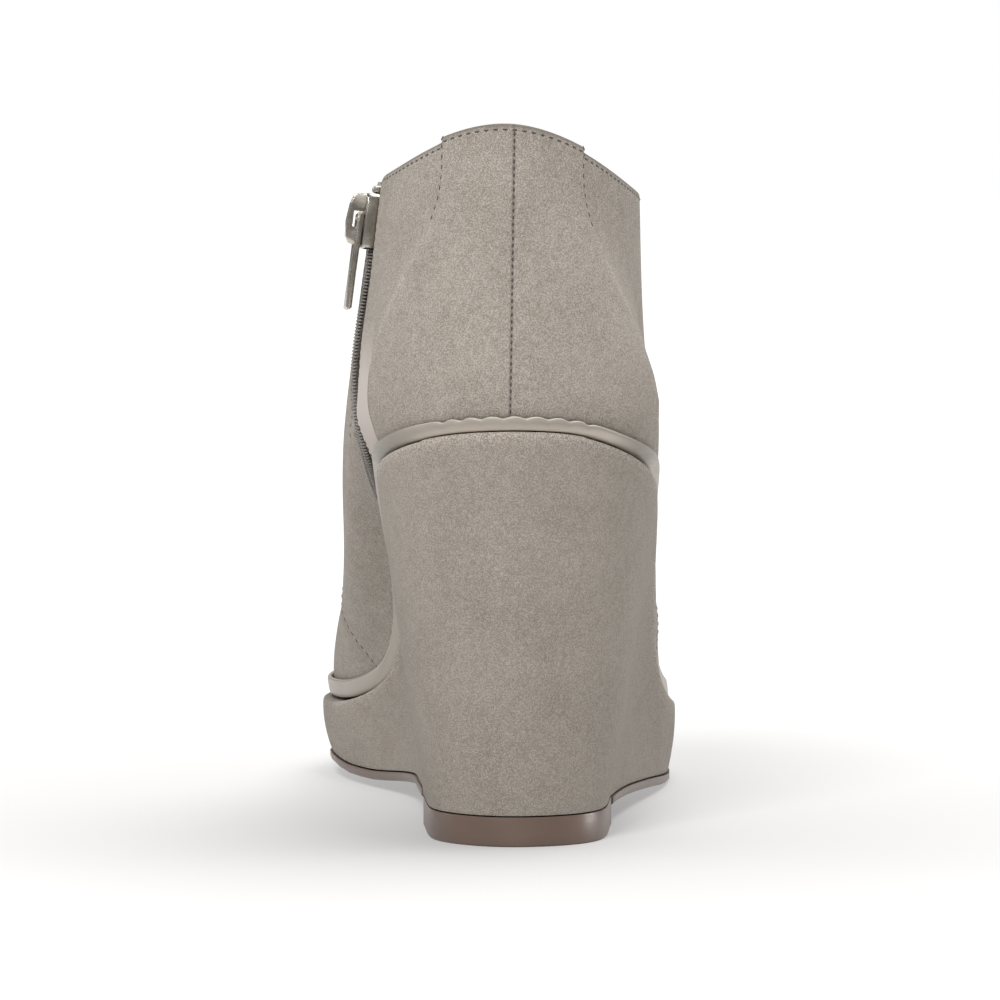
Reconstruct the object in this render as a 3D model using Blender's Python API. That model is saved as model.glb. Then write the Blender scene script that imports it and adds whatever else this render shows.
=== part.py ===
"""Wedge ankle boot for the right foot, standing on its heel and its forefoot.

Metres, +Z up. The toe points to +Y, the outer (lateral) side to +X and the inner (medial) side,
where the zip is, to -X. The origin is on the floor, under the middle of the heel's top-lift.

Places round the boot are angles: 0 at the back of the heel, a half turn at the toe, positive on
the lateral side. Places up the upper are heights from 0 at its lower edge to 1 at its collar.
"""

import math
from collections import namedtuple

import bmesh
import bpy
import numpy as np
from mathutils import Matrix, Vector

# Sole
LENGTH = 0.2285
BALL_WIDTH = 0.090
HEEL_HEIGHT = 0.0984
PLATFORM_HEIGHT = 0.0202
TOE_SPRING = 0.0062
ARCH_RISE = 0.0086
HEEL_UNDERCUT = 0.009
TOE_UNDERCUT = 0.0025
TOP_LIFT_LENGTH = 0.043
TOP_LIFT_HEIGHT = 0.0070
OUTSOLE_THICKNESS = 0.0022
OUTSOLE_LIP = 0.0004
COVER_ROUND = 0.0008

# Upper
SHAFT_BACK = 0.0699
SHAFT_FRONT = 0.0524
COLLAR_WIDTH = 0.062
COLLAR_SCOOP = 0.0059
COLLAR_TILT = 0.0017
COLLAR_LEAN_SHARE = 0.87
WALL = 0.0018
SEAM_STEP = 0.00045
SEAM_WIDTH = 0.0003
PANEL_RISE = 0.0010
VAMP_FOOT_SHARE = 0.520
VAMP_RIDGE_SHARE = 0.610

# Rand and insole
RAND_HEIGHT = 0.0049
RAND_THICKNESS = 0.0013
RAND_LEDGE = 0.00075
SCALLOP_PITCH = 0.0045
SCALLOP_DEPTH = 0.0008
SCALLOPS_A_SIDE = 4
INSOLE_THICKNESS = 0.003

# Zip
SLOT_WIDTH = 0.0084
SLOT_FOOT_SHARE = 0.04
SKIVE_WIDTH = 0.0030
SKIVE_DEPTH = 0.0007
TAPE_FOOT_SHARE = 0.06
TAPE_WIDTH = 0.024
TAPE_THICKNESS = 0.0007
TAPE_TOP_SHARE = 0.985
CHAIN_WIDTH = 0.0050
CHAIN_THICKNESS = 0.0027
CHAIN_START_SHARE = 0.036
CHAIN_END_SHARE = 0.04
SLIDER_SHARE = 0.918
SLIDER_LENGTH = 0.013
SLIDER_PLATE = 0.0011
BRIDGE_WIDTH = 0.0026
BRIDGE_RISE = 0.0041
STOP_SIZE = 0.0016
STOP_OFFSET = 0.00145
STOP_SHARE = 0.063
STOP_HEIGHT = 0.0030
PULL_LENGTH = 0.0225
PULL_WIDTH = 0.0066
PULL_THICKNESS = 0.0014
PULL_WAIST_SHARE = 0.86
PULL_WAIST_PLACE_SHARE = 0.62
PULL_CLEARANCE = 0.0003

# Pieces that meet keep this much air between them.
GAP = 0.0003

HEEL_BACK = -(HEEL_UNDERCUT + TOP_LIFT_LENGTH / 2)
RIM = RAND_LEDGE + RAND_THICKNESS + GAP + SEAM_STEP
INNER = -(WALL + SEAM_STEP)
TAPE_FACE = INNER - GAP
CHAIN_FOOT = TAPE_FACE + GAP
CHAIN_TOP = CHAIN_FOOT + CHAIN_THICKNESS
PLATE_FOOT = CHAIN_TOP + 1.6 * GAP
PLATE_TOP = PLATE_FOOT + SLIDER_PLATE
HINGE_DOWN = -0.073 * SLIDER_LENGTH
HINGE_OUT = PLATE_TOP + PULL_CLEARANCE + PULL_THICKNESS / 2
TURN = 2 * math.pi

# The wedge from its back to its toe. Widths are shares of BALL_WIDTH, at its top edge and at its
# base. Seat is a share of the heel's rise. Under the sole, the two arches are the rise on the
# inner and outer side and roll is how far the inner edge turns up besides, in shares of
# ARCH_RISE, and toe is a share of TOE_SPRING. Hollow is how far the side curves in between top
# and base, again a share of BALL_WIDTH.
Station = namedtuple(
    "Station",
    "share medial lateral base_medial base_lateral seat inner_arch outer_arch roll toe hollow",
)
STATIONS = (
    Station(0.000, 0.000, 0.000, 0.000, 0.000, 1.000, 0.70, 0.50, 0.00, 0.00, -0.008),
    Station(0.020, 0.178, 0.167, 0.130, 0.150, 0.986, 0.70, 0.50, 0.00, 0.00, -0.008),
    Station(0.055, 0.283, 0.253, 0.200, 0.220, 0.953, 0.70, 0.50, 0.00, 0.00, -0.008),
    Station(0.120, 0.356, 0.341, 0.230, 0.250, 0.890, 0.74, 0.50, 0.00, 0.00, -0.008),
    Station(0.200, 0.363, 0.381, 0.242, 0.262, 0.807, 0.78, 0.50, 0.00, 0.00, 0.000),
    Station(0.300, 0.343, 0.387, 0.259, 0.298, 0.608, 0.76, 0.47, 0.00, 0.00, 0.022),
    Station(0.400, 0.312, 0.388, 0.276, 0.345, 0.330, 0.62, 0.37, 0.00, 0.00, 0.030),
    Station(0.480, 0.347, 0.408, 0.325, 0.388, 0.141, 0.43, 0.26, 0.07, 0.00, 0.020),
    Station(0.560, 0.430, 0.440, 0.408, 0.424, 0.050, 0.16, 0.11, 0.21, 0.00, 0.000),
    Station(0.640, 0.505, 0.460, 0.483, 0.441, 0.008, 0.00, 0.00, 0.33, 0.00, -0.008),
    Station(0.720, 0.545, 0.452, 0.520, 0.433, 0.000, 0.00, 0.00, 0.42, 0.00, -0.010),
    Station(0.800, 0.515, 0.420, 0.492, 0.402, 0.000, 0.00, 0.00, 0.40, 0.03, -0.008),
    Station(0.880, 0.432, 0.350, 0.410, 0.332, 0.000, 0.00, 0.00, 0.32, 0.25, -0.006),
    Station(0.950, 0.303, 0.233, 0.287, 0.220, 0.000, 0.00, 0.00, 0.20, 0.62, -0.004),
    Station(0.985, 0.180, 0.122, 0.168, 0.116, 0.000, 0.00, 0.00, 0.10, 0.90, -0.004),
    Station(1.000, 0.022, -0.022, 0.022, -0.022, 0.000, 0.00, 0.00, 0.00, 1.00, -0.004),
)

# Slanted loops of the upper above its lower edge. Each runs from a point on the back of the
# heel to a point on the ridge of the instep: y in shares of LENGTH, z in shares of the shaft's
# height there, x in shares of BALL_WIDTH. It dips by a share of the lower edge's own dip and of
# the collar's scoop, and its girth goes from BALL_WIDTH (0) to COLLAR_WIDTH (1).
Slice = namedtuple("Slice", "height back_y back_z back_x front_y front_z front_x dip scoop leg")
SLICES = (
    Slice(0.10, 0.001, 0.080, 0.000, 0.992, 0.055, -0.022, 0.93, 0.00, 0.00),
    Slice(0.20, 0.000, 0.158, -0.001, 0.969, 0.116, -0.024, 0.83, 0.00, 0.00),
    Slice(0.35, 0.004, 0.278, -0.003, 0.875, 0.180, -0.031, 0.62, 0.00, 0.00),
    Slice(0.50, 0.012, 0.419, -0.008, 0.709, 0.281, -0.036, 0.30, 0.00, 0.30),
    Slice(0.65, 0.020, 0.581, -0.012, 0.560, 0.443, -0.036, 0.10, 0.10, 0.60),
    Slice(0.80, 0.0245, 0.764, -0.017, 0.464, 0.661, -0.031, 0.03, 0.35, 0.85),
    Slice(1.00, 0.022, 1.000, -0.010, 0.429, 1.000, -0.022, 0.00, 1.00, 1.00),
)

# How far each loop stands out from the line between its two ends, in shares of its girth.
Width = namedtuple("Width", "heel rear middle fore toe")
WIDTH_PLACES = (0.1, 0.3, 0.5, 0.7, 0.9)
MEDIAL_WIDTHS = (
    Width(0.337, 0.360, 0.373, 0.504, 0.343),
    Width(0.352, 0.424, 0.438, 0.490, 0.282),
    Width(0.344, 0.431, 0.449, 0.432, 0.263),
    Width(0.350, 0.458, 0.491, 0.438, 0.233),
    Width(0.344, 0.473, 0.514, 0.477, 0.273),
    Width(0.306, 0.468, 0.526, 0.485, 0.292),
    Width(0.295, 0.453, 0.506, 0.455, 0.290),
)
LATERAL_WIDTHS = (
    Width(0.342, 0.380, 0.401, 0.436, 0.303),
    Width(0.348, 0.396, 0.412, 0.421, 0.244),
    Width(0.344, 0.395, 0.400, 0.382, 0.234),
    Width(0.350, 0.421, 0.446, 0.408, 0.226),
    Width(0.340, 0.430, 0.474, 0.460, 0.273),
    Width(0.307, 0.458, 0.500, 0.469, 0.305),
    Width(0.303, 0.462, 0.510, 0.464, 0.298),
)

# Where the back panel's seams and the zip run, in degrees round from the back of the heel.
Seam = namedtuple("Seam", "height medial lateral zip")
SEAMS = (
    Seam(0.00, 42.0, 50.0, 67),
    Seam(0.10, 42.0, 49.0, 58.5),
    Seam(0.20, 42.0, 48.0, 54),
    Seam(0.42, 43.5, 45.5, 61),
    Seam(0.56, 40.0, 41.0, 66),
    Seam(0.66, 35.7, 37.0, 71),
    Seam(0.80, 30.2, 34.5, 78),
    Seam(1.00, 31.0, 33.0, 85),
)

# The slider from its top to its foot: places down it in shares of SLIDER_LENGTH, widths in shares
# of its full width. The bridge's side and its hole, down in shares of SLIDER_LENGTH and out from
# the plate in shares of BRIDGE_RISE.
Span = namedtuple("Span", "down wide")
SLIDER_SPANS = (
    Span(-0.50, 0.70),
    Span(-0.43, 0.90),
    Span(-0.32, 1.00),
    Span(0.44, 1.00),
    Span(0.50, 0.97),
)
Corner = namedtuple("Corner", "down out")
BRIDGE_SIDE = (
    Corner(-0.485, 0.47),
    Corner(-0.430, 0.72),
    Corner(-0.285, 0.89),
    Corner(0.030, 1.00),
    Corner(0.323, 0.94),
    Corner(0.438, 0.72),
    Corner(0.462, 0.43),
)
BRIDGE_HOLE = (Corner(-0.230, 0.00), Corner(0.140, 0.62))

SOLE_SECTION_COUNT = 48
ROWS = (0, 0.04, 0.09, 0.15, 0.22, 0.30, 0.38, 0.46, 0.54, 0.62, 0.70, 0.78, 0.85, 0.91, 0.96, 1)


class Spline:
    """A smooth curve through values at rising places, closed if it has a period."""

    def __init__(self, places, values, period=None):
        places, values = np.asarray(places, float), np.asarray(values, float)
        self.period = period
        if period:
            places = np.append(places, places[0] + period)
            values = np.concatenate([values, values[:1]])
        steps = np.diff(places)
        slopes = (np.diff(values, axis=0).T / steps).T
        count = len(places)
        matrix, right = np.zeros((count, count)), np.zeros_like(values)
        for i in range(1, count - 1):
            matrix[i, i - 1 : i + 2] = steps[i - 1], 2 * (steps[i - 1] + steps[i]), steps[i]
            right[i] = 6 * (slopes[i] - slopes[i - 1])
        if period:
            matrix[0, 0], matrix[0, -1] = 1, -1
            matrix[-1, 0], matrix[-1, 1] = 2 * (steps[-1] + steps[0]), steps[0]
            matrix[-1, -2] = steps[-1]
            right[-1] = 6 * (slopes[0] - slopes[-1])
        else:
            matrix[0, 0] = matrix[-1, -1] = 1
        self.places, self.values, self.steps = places, values, steps
        self.bends = np.linalg.solve(matrix, right)

    def __call__(self, at):
        at = np.asarray(at, float)
        if self.period:
            at = (at - self.places[0]) % self.period + self.places[0]
        i = np.clip(np.searchsorted(self.places, at, side="right") - 1, 0, len(self.steps) - 1)
        step = self.steps[i]
        b = (at - self.places[i]) / step
        a = 1 - b
        spare = (1,) * (self.values.ndim - 1)
        a, b, step = (np.reshape(n, np.shape(n) + spare) for n in (a, b, step))
        bend = (a**3 - a) * self.bends[i] + (b**3 - b) * self.bends[i + 1]
        return a * self.values[i] + b * self.values[i + 1] + bend * step**2 / 6


def steady(places, values, at):
    """A smooth curve that keeps level stretches level and never overshoots."""
    places, values = np.asarray(places, float), np.asarray(values, float)
    steps = np.diff(places)
    slopes = np.diff(values) / steps
    tangents = np.concatenate([slopes[:1], np.zeros(len(slopes) - 1), slopes[-1:]])
    for i in range(1, len(slopes)):
        if slopes[i - 1] * slopes[i] > 0:
            tangents[i] = 2 / (1 / slopes[i - 1] + 1 / slopes[i])
    at = np.clip(at, places[0], places[-1])
    i = np.clip(np.searchsorted(places, at, side="right") - 1, 0, len(steps) - 1)
    t, step = (at - places[i]) / steps[i], steps[i]
    start = (1 + 2 * t) * (1 - t) ** 2 * values[i] + t * (1 - t) ** 2 * step * tangents[i]
    end = t**2 * (3 - 2 * t) * values[i + 1] + t**2 * (t - 1) * step * tangents[i + 1]
    return start + end


def ease(share):
    """0 below 0, 1 above 1, and a smooth rise between."""
    share = np.clip(share, 0, 1)
    return share * share * (3 - 2 * share)


def between(start, end, share):
    return start + (end - start) * share


def turns(share):
    """The angle from the back at which a loop has covered a share of its length."""
    return np.arccos(1 - 2 * np.asarray(share, float))


def along(angles):
    """The share of its length that a loop has covered at each angle."""
    return (1 - np.cos(angles)) / 2


def closed_width(shares, back, medial, lateral, front):
    """Sideways places round a loop, as a smooth closed curve over the angle."""
    medial, lateral = np.asarray(medial, float), np.asarray(lateral, float)
    side = turns(shares)
    places = np.concatenate([[-math.pi], -side[::-1], [0], side])
    values = np.concatenate([[front], -medial[::-1], [back], lateral])
    return Spline(places, values, TURN)


def column(name):
    return np.array([getattr(row, name) for row in STATIONS])


STATION_SHARES = column("share")
TOP_WIDTH = closed_width(
    STATION_SHARES[1:-1], 0, column("medial")[1:-1], column("lateral")[1:-1], STATIONS[-1].lateral
)
BASE_WIDTH = closed_width(
    STATION_SHARES[1:-1],
    0,
    column("base_medial")[1:-1],
    column("base_lateral")[1:-1],
    STATIONS[-1].base_lateral,
)
BASE_LENGTH = LENGTH - HEEL_UNDERCUT - TOE_UNDERCUT


def seat_height(y):
    """The wedge's top, along the middle of the boot."""
    share = (np.asarray(y) - HEEL_BACK) / LENGTH
    rise = steady(STATION_SHARES, column("seat"), share) * (HEEL_HEIGHT - PLATFORM_HEIGHT)
    return PLATFORM_HEIGHT + rise + steady(STATION_SHARES, column("toe"), share) * TOE_SPRING


def ground_height(plan):
    """The outsole's lower face: level under the forefoot, raised at the arch and the toe."""
    share = (plan[..., 1] - HEEL_BACK - HEEL_UNDERCUT) / BASE_LENGTH
    inner = steady(STATION_SHARES, column("inner_arch"), share)
    outer = steady(STATION_SHARES, column("outer_arch"), share)
    inwards = -plan[..., 0] / BALL_WIDTH
    arch = outer + (inner - outer) * ease(0.5 + 1.2 * inwards)
    arch += steady(STATION_SHARES, column("roll"), share) * ease(4 * (inwards - 0.28))
    return arch * ARCH_RISE + steady(STATION_SHARES, column("toe"), share) * TOE_SPRING


def top_outline(angles):
    """The wedge's top edge from above."""
    return np.stack(
        [TOP_WIDTH(angles) * BALL_WIDTH, HEEL_BACK + along(angles) * LENGTH], axis=-1
    )


def base_outline(angles):
    """The edge of the wedge's base from above."""
    y = HEEL_BACK + HEEL_UNDERCUT + along(angles) * BASE_LENGTH
    return np.stack([BASE_WIDTH(angles) * BALL_WIDTH, y], axis=-1)


def inset(outline, angles, distance):
    """An outline moved inwards by a distance, square to itself."""
    small = 1e-3
    run = outline(angles + small) - outline(angles - small)
    run /= np.linalg.norm(run, axis=-1, keepdims=True)
    return outline(angles) + np.stack([-run[..., 1], run[..., 0]], axis=-1) * distance


def seated(plan, lift):
    """Points of a plan at a lift above the wedge's top."""
    return np.concatenate([plan, (seat_height(plan[..., 1]) + lift)[..., None]], axis=-1)


TOE_SEAT = PLATFORM_HEIGHT + TOE_SPRING
BLEND = Spline([0] + [row.height for row in SLICES], np.eye(len(SLICES) + 1))


def slice_loop(row, medial, lateral, angles, foot):
    """One loop of the upper; foot is its lower edge, whose dip it shares."""
    share = along(angles)
    girth = BALL_WIDTH + (COLLAR_WIDTH - BALL_WIDTH) * row.leg
    bulge = closed_width(WIDTH_PLACES, 0, medial, lateral, 0)(angles)
    x = between(row.back_x, row.front_x, share) * BALL_WIDTH + bulge * girth
    y = HEEL_BACK + between(row.back_y, row.front_y, share) * LENGTH
    back = HEEL_HEIGHT + row.back_z * SHAFT_BACK
    front = TOE_SEAT + row.front_z * (HEEL_HEIGHT + SHAFT_FRONT - TOE_SEAT)
    dip = between(HEEL_HEIGHT, TOE_SEAT, share) - foot[:, 2]
    sine, cosine = np.sin(angles), np.cos(angles)
    scoop = COLLAR_SCOOP * sine**2 * (1 + COLLAR_LEAN_SHARE * cosine) + COLLAR_TILT * sine
    z = between(back, front, share) - row.dip * dip - row.scoop * scoop
    return np.stack([x, y, z], axis=-1)


def skin(angles, heights):
    """Points of the quarters' outer face, the surface that everything on the upper follows."""
    angles, heights = np.broadcast_arrays(
        np.asarray(angles, float), np.asarray(heights, float)
    )
    foot = seated(inset(top_outline, angles, RIM), GAP)
    loops = [foot]
    for row, medial, lateral in zip(SLICES, MEDIAL_WIDTHS, LATERAL_WIDTHS):
        loops.append(slice_loop(row, medial, lateral, angles, foot))
    return np.einsum("mk,kmc->mc", BLEND(heights), np.array(loops))


def normals(angles, heights):
    """Outward directions of the skin, level at its lower edge."""
    small = 1e-3
    aside = skin(angles + small, heights) - skin(angles - small, heights)
    up = skin(angles, heights + small) - skin(angles, heights - small)
    out = np.cross(aside, up)
    out /= np.linalg.norm(out, axis=-1, keepdims=True)
    level = out * (1, 1, 0)
    level /= np.linalg.norm(level, axis=-1, keepdims=True)
    mix = ease(heights / 0.1)[:, None]
    out = level + (out - level) * mix
    return out / np.linalg.norm(out, axis=-1, keepdims=True)


def shell(angles, heights, distance):
    """The skin moved outwards by a distance, its lower edge kept just above the wedge."""
    angles, heights, distance = np.broadcast_arrays(
        *(np.asarray(n, float) for n in (angles, heights, distance))
    )
    points = skin(angles, heights) + normals(angles, heights) * distance[:, None]
    low = heights == 0
    points[low, 2] = seat_height(points[low, 1]) + GAP
    return points


def stretch(angle, height):
    """How far the skin runs for each radian round the boot."""
    small = 1e-3
    ends = skin([angle - small, angle + small], [height, height])
    return float(np.linalg.norm(ends[1] - ends[0]) / (2 * small))


def seam_angle(name, height):
    """The angle of a seam or of the zip at a height."""
    places = [row.height for row in SEAMS]
    return math.radians(float(Spline(places, [getattr(row, name) for row in SEAMS])(height)))


def zip_angles(height, offsets):
    """Angles at distances either side of the zip's middle, rearwards first."""
    middle = -seam_angle("zip", height)
    return [middle - offset / stretch(middle, height) for offset in offsets]


def material(name, colour, roughness, metallic=0.0):
    made = bpy.data.materials.new(name)
    made.use_nodes = True
    made.diffuse_color = (*colour, 1)
    surface = made.node_tree.nodes["Principled BSDF"]
    surface.inputs["Base Color"].default_value = (*colour, 1)
    surface.inputs["Roughness"].default_value = roughness
    surface.inputs["Metallic"].default_value = metallic
    return made


def add_part(name, bm, look, smooth_under=math.radians(35)):
    """An object of this mesh, with its faces turned outwards and shaded smooth."""
    bmesh.ops.recalc_face_normals(bm, faces=bm.faces)
    mesh = bpy.data.meshes.new(name)
    bm.to_mesh(mesh)
    bm.free()
    mesh.shade_smooth()
    mesh.set_sharp_from_angle(angle=smooth_under)
    mesh.materials.append(look)
    made = bpy.data.objects.new(name, mesh)
    bpy.context.scene.collection.objects.link(made)
    return made


def add_rings(bm, rings):
    """Closed loops of vertices, joined one to the next by a band of faces."""
    made = [[bm.verts.new(point) for point in ring] for ring in rings]
    for low, high in zip(made, made[1:]):
        for i in range(len(low)):
            j = (i + 1) % len(low)
            bm.faces.new((low[i], low[j], high[j], high[i]))
    return made


def cap(bm, ring):
    """Closes a loop that runs from the back up one side to the toe and down the other."""
    count = len(ring)
    for i in range(count // 2):
        j, k = count - i, count - i - 1
        corners = [ring[i], ring[i + 1], ring[k], ring[j % count]]
        bm.faces.new(list(dict.fromkeys(corners)))


def loop_angles(steps, extra=()):
    """Angles round a whole loop, the same on both sides, with some places added."""
    half = sorted(set(np.linspace(0, math.pi, steps + 1)) | set(extra))
    return np.array(half + [-angle for angle in half[-2:0:-1]])


def narrowed(plan):
    """A loop seen from above with its two sides brought halfway to its middle."""
    across = (plan[:, :1] - np.roll(plan[::-1, :1], 1, axis=0)) / 4
    return plan - across * (1, 0)


def raised(plan, heights):
    return np.concatenate([plan, np.broadcast_to(heights, plan.shape[:-1])[..., None]], axis=-1)


def heel_front_angle(beyond):
    """The angle at which the wedge's base has passed the top-lift's front by a distance."""
    return float(turns((TOP_LIFT_LENGTH + beyond) / BASE_LENGTH))


def make_wedge(look):
    step = [heel_front_angle(GAP), heel_front_angle(2 * GAP)]
    angles = loop_angles(SOLE_SECTION_COUNT, step)
    top = seated(top_outline(angles), 0)
    base_plan = base_outline(angles)
    over_outsole = ground_height(base_plan) + OUTSOLE_THICKNESS + GAP
    base = raised(base_plan, over_outsole)
    rim = seated(inset(top_outline, angles, COVER_ROUND), 0)
    inwards = (rim - top) * (1, 1, 0) / COVER_ROUND
    hollow = steady(STATION_SHARES, column("hollow"), along(angles)) * BALL_WIDTH
    rings = [rim]
    for share in (0, 0.12, 0.3, 0.5, 0.7, 0.88, 1):
        ring = top + (base - top) * share + inwards * (hollow * 4 * share * (1 - share))[:, None]
        if share == 0:
            ring[:, 2] -= COVER_ROUND
        rings.append(ring)
    core_plan = narrowed(base_plan)
    rings.append(raised(core_plan, ground_height(core_plan) + OUTSOLE_THICKNESS + GAP))
    on_heel = np.abs(angles) < np.mean(step)
    for ring in rings[-2:]:
        ring[on_heel, 2] = TOP_LIFT_HEIGHT + GAP
    bm = bmesh.new()
    made = add_rings(bm, rings)
    cap(bm, made[0])
    cap(bm, made[-1])
    return add_part("wedge", bm, look)


def make_outsole(look):
    rear = heel_front_angle(3 * GAP)
    side = rear + (math.pi - rear) * np.linspace(0, 1, 31)
    angles = np.concatenate([side, -side[-2::-1]])
    edge = OUTSOLE_THICKNESS / 3
    small, full = (inset(base_outline, angles, d - OUTSOLE_LIP) for d in (edge, 0))
    small, full = (np.concatenate([(p[:1] + p[-1:]) / 2, p]) for p in (small, full))
    levels = (
        (narrowed(small), 0),
        (small, 0),
        (full, edge),
        (full, OUTSOLE_THICKNESS),
        (narrowed(full), OUTSOLE_THICKNESS),
    )
    rings = [raised(plan, ground_height(plan) + lift) for plan, lift in levels]
    bm = bmesh.new()
    made = add_rings(bm, rings)
    cap(bm, made[0])
    cap(bm, made[-1])
    return add_part("outsole", bm, look)


def make_top_lift(look):
    front = heel_front_angle(0)
    side = front * np.linspace(0, 1, 15)
    angles = np.concatenate([side, -side[:0:-1]])
    plan = base_outline(angles)
    bevel = 0.05 * TOP_LIFT_HEIGHT
    small = inset(base_outline, angles, bevel)
    small[len(side) - 1, 1] = small[len(side), 1] = plan[len(side) - 1, 1] - bevel
    levels = ((small, 0), (plan, bevel), (plan, TOP_LIFT_HEIGHT))
    bm = bmesh.new()
    made = add_rings(bm, [raised(outline, height) for outline, height in levels])
    for ring in (made[0], made[-1]):
        bm.faces.new(ring)
    return add_part("heel_top_lift", bm, look)


def upper_columns(height):
    """Angles and outward steps of the upper's grid at one height, and where the slot lies."""
    lateral, medial = seam_angle("lateral", height), seam_angle("medial", height)
    back_step = SEAM_WIDTH / stretch(lateral, height)
    half = SLOT_WIDTH / 2
    reach = half + SKIVE_WIDTH
    places = zip_angles(height, (-reach, -half, half, reach))
    rear_flat, rear_edge, front_edge, front_flat = (-angle for angle in places)
    side = [(a, SEAM_STEP) for a in np.linspace(0, lateral, 14)]
    side += [(a, 0) for a in np.linspace(lateral + back_step, math.pi, 29)]
    inner = [(-a, SEAM_STEP) for a in np.linspace(0, medial, 14)[1:]]
    inner += [(-a, 0) for a in np.linspace(medial + back_step, rear_flat, 7)]
    slot = len(inner)
    inner += [(-a, -SKIVE_DEPTH) for a in np.linspace(rear_edge, front_edge, 3)]
    inner += [(-a, 0) for a in np.linspace(front_flat, math.pi, 25)[:-1]]
    cells = [len(side) + len(inner) - 1 - slot - n for n in (1, 2)]
    return side + inner[::-1], cells


def make_upper(look):
    """The hollow upper: two faces of one grid, joined at the collar, the foot and the slot."""
    bm = bmesh.new()
    outer, inner = [], []
    for height in ROWS:
        columns, slot = upper_columns(height)
        angles = [angle for angle, _ in columns]
        steps = np.array([step for _, step in columns])
        rise = PANEL_RISE / SHAFT_BACK * steps / SEAM_STEP if height == 1 else 0
        outer.append([bm.verts.new(p) for p in shell(angles, height + rise, steps)])
        inner.append([bm.verts.new(p) for p in shell(angles, height + rise, INNER)])
    count = len(outer[0])
    kept = {
        (i, j)
        for i in range(len(ROWS) - 1)
        for j in range(count)
        if j not in slot or ROWS[i] < SLOT_FOOT_SHARE
    }
    outer_faces = []
    for i, j in kept:
        k = (j + 1) % count
        outer_faces.append(
            bm.faces.new((outer[i][j], outer[i][k], outer[i + 1][k], outer[i + 1][j]))
        )
        bm.faces.new((inner[i][j], inner[i + 1][j], inner[i + 1][k], inner[i][k]))
        sides = {
            (i - 1, j): ((i, j), (i, k)),
            (i + 1, j): ((i + 1, k), (i + 1, j)),
            (i, (j - 1) % count): ((i + 1, j), (i, j)),
            (i, k): ((i, k), (i + 1, k)),
        }
        for beyond, ((a, b), (c, d)) in sides.items():
            if beyond not in kept:
                bm.faces.new((outer[a][b], inner[a][b], inner[c][d], outer[c][d]))
    loose = [vertex for vertex in bm.verts if not vertex.link_faces]
    bmesh.ops.delete(bm, geom=loose, context="VERTS")
    step_down_vamp(bm, outer_faces)
    return add_part("upper", bm, look)


def step_down_vamp(bm, faces):
    """Cuts the outer face along the vamp seam and sinks what lies in front of it."""
    foot = HEEL_BACK + VAMP_FOOT_SHARE * LENGTH
    ridge = HEEL_BACK + VAMP_RIDGE_SHARE * LENGTH
    low = Vector((0, foot, seat_height(foot)))
    high = Vector((0, ridge, ridge_height(ridge)))
    forwards = Vector((1, 0, 0)).cross(high - low).normalized() * -1
    for shift in (0, SEAM_WIDTH):
        reach = set(faces)
        geometry = reach | {e for f in reach for e in f.edges} | {v for f in reach for v in f.verts}
        cut = bmesh.ops.bisect_plane(
            bm,
            geom=list(geometry),
            dist=1e-7,
            plane_co=low + forwards * shift,
            plane_no=forwards,
        )
        faces = [item for item in cut["geom"] if isinstance(item, bmesh.types.BMFace)]
    bm.normal_update()
    bmesh.ops.recalc_face_normals(bm, faces=bm.faces)
    bm.normal_update()
    sunk = {v for f in faces for v in f.verts if (v.co - low).dot(forwards) > SEAM_WIDTH * 0.9}
    for vertex in sunk:
        vertex.co -= vertex.normal * SEAM_STEP


def ridge_height(y):
    """The height of the instep's ridge at a place along the boot."""
    heights = np.linspace(0.15, 0.9, 200)
    points = skin(np.full(200, math.pi), heights)
    order = np.argsort(points[:, 1])
    return float(np.interp(y, points[order, 1], points[order, 2]))


def make_insole(look):
    angles = loop_angles(SOLE_SECTION_COUNT)
    edge = RIM - INNER + GAP
    low = seated(inset(top_outline, angles, edge), GAP)
    rounding = 0.3 * INSOLE_THICKNESS
    full = seated(inset(top_outline, angles, edge), GAP + INSOLE_THICKNESS - rounding)
    soft = seated(inset(top_outline, angles, edge + rounding), GAP + INSOLE_THICKNESS)
    bm = bmesh.new()
    made = add_rings(bm, [low, full, soft])
    cap(bm, made[0])
    cap(bm, made[-1])
    return add_part("insole", bm, look)


def rand_angles():
    """Angles of the rand's sections, close together where its edge is scalloped."""
    angles = np.linspace(-math.pi, math.pi, 2001)
    points = skin(angles, np.zeros(2001))
    runs = np.concatenate([[0], np.cumsum(np.linalg.norm(np.diff(points, axis=0), axis=1))])
    runs -= np.interp(0, angles, runs)
    reach = SCALLOP_PITCH * SCALLOPS_A_SIDE
    gathered = np.linspace(-reach, reach, 12 * SCALLOPS_A_SIDE + 1)
    ahead = np.linspace(np.interp(reach, runs, angles), math.pi, 36)[1:]
    behind = np.linspace(-math.pi, np.interp(-reach, runs, angles), 36)[1:-1]
    angles_at = np.concatenate([np.interp(gathered, runs, angles), ahead, behind])
    wave = np.abs(np.cos(math.pi * gathered / SCALLOP_PITCH))
    heights = np.full(len(angles_at), RAND_HEIGHT)
    heights[: len(gathered)] -= SCALLOP_DEPTH * (1 - wave)
    return angles_at, heights


def rand_stand(angles):
    """How far the rand's back face stands off the skin, over the panels' steps."""
    run, clear = math.radians(12), math.radians(1)
    turn = np.abs(angles)
    seam = np.where(angles > 0, seam_angle("lateral", 0), seam_angle("medial", 0))
    vamp = float(turns(VAMP_FOOT_SHARE + 2 * RAND_HEIGHT / LENGTH))
    panel = 1 - ease((turn - seam - clear) / run) - ease((turn - vamp) / run)
    return 1.2 * GAP + SEAM_STEP * panel


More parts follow.
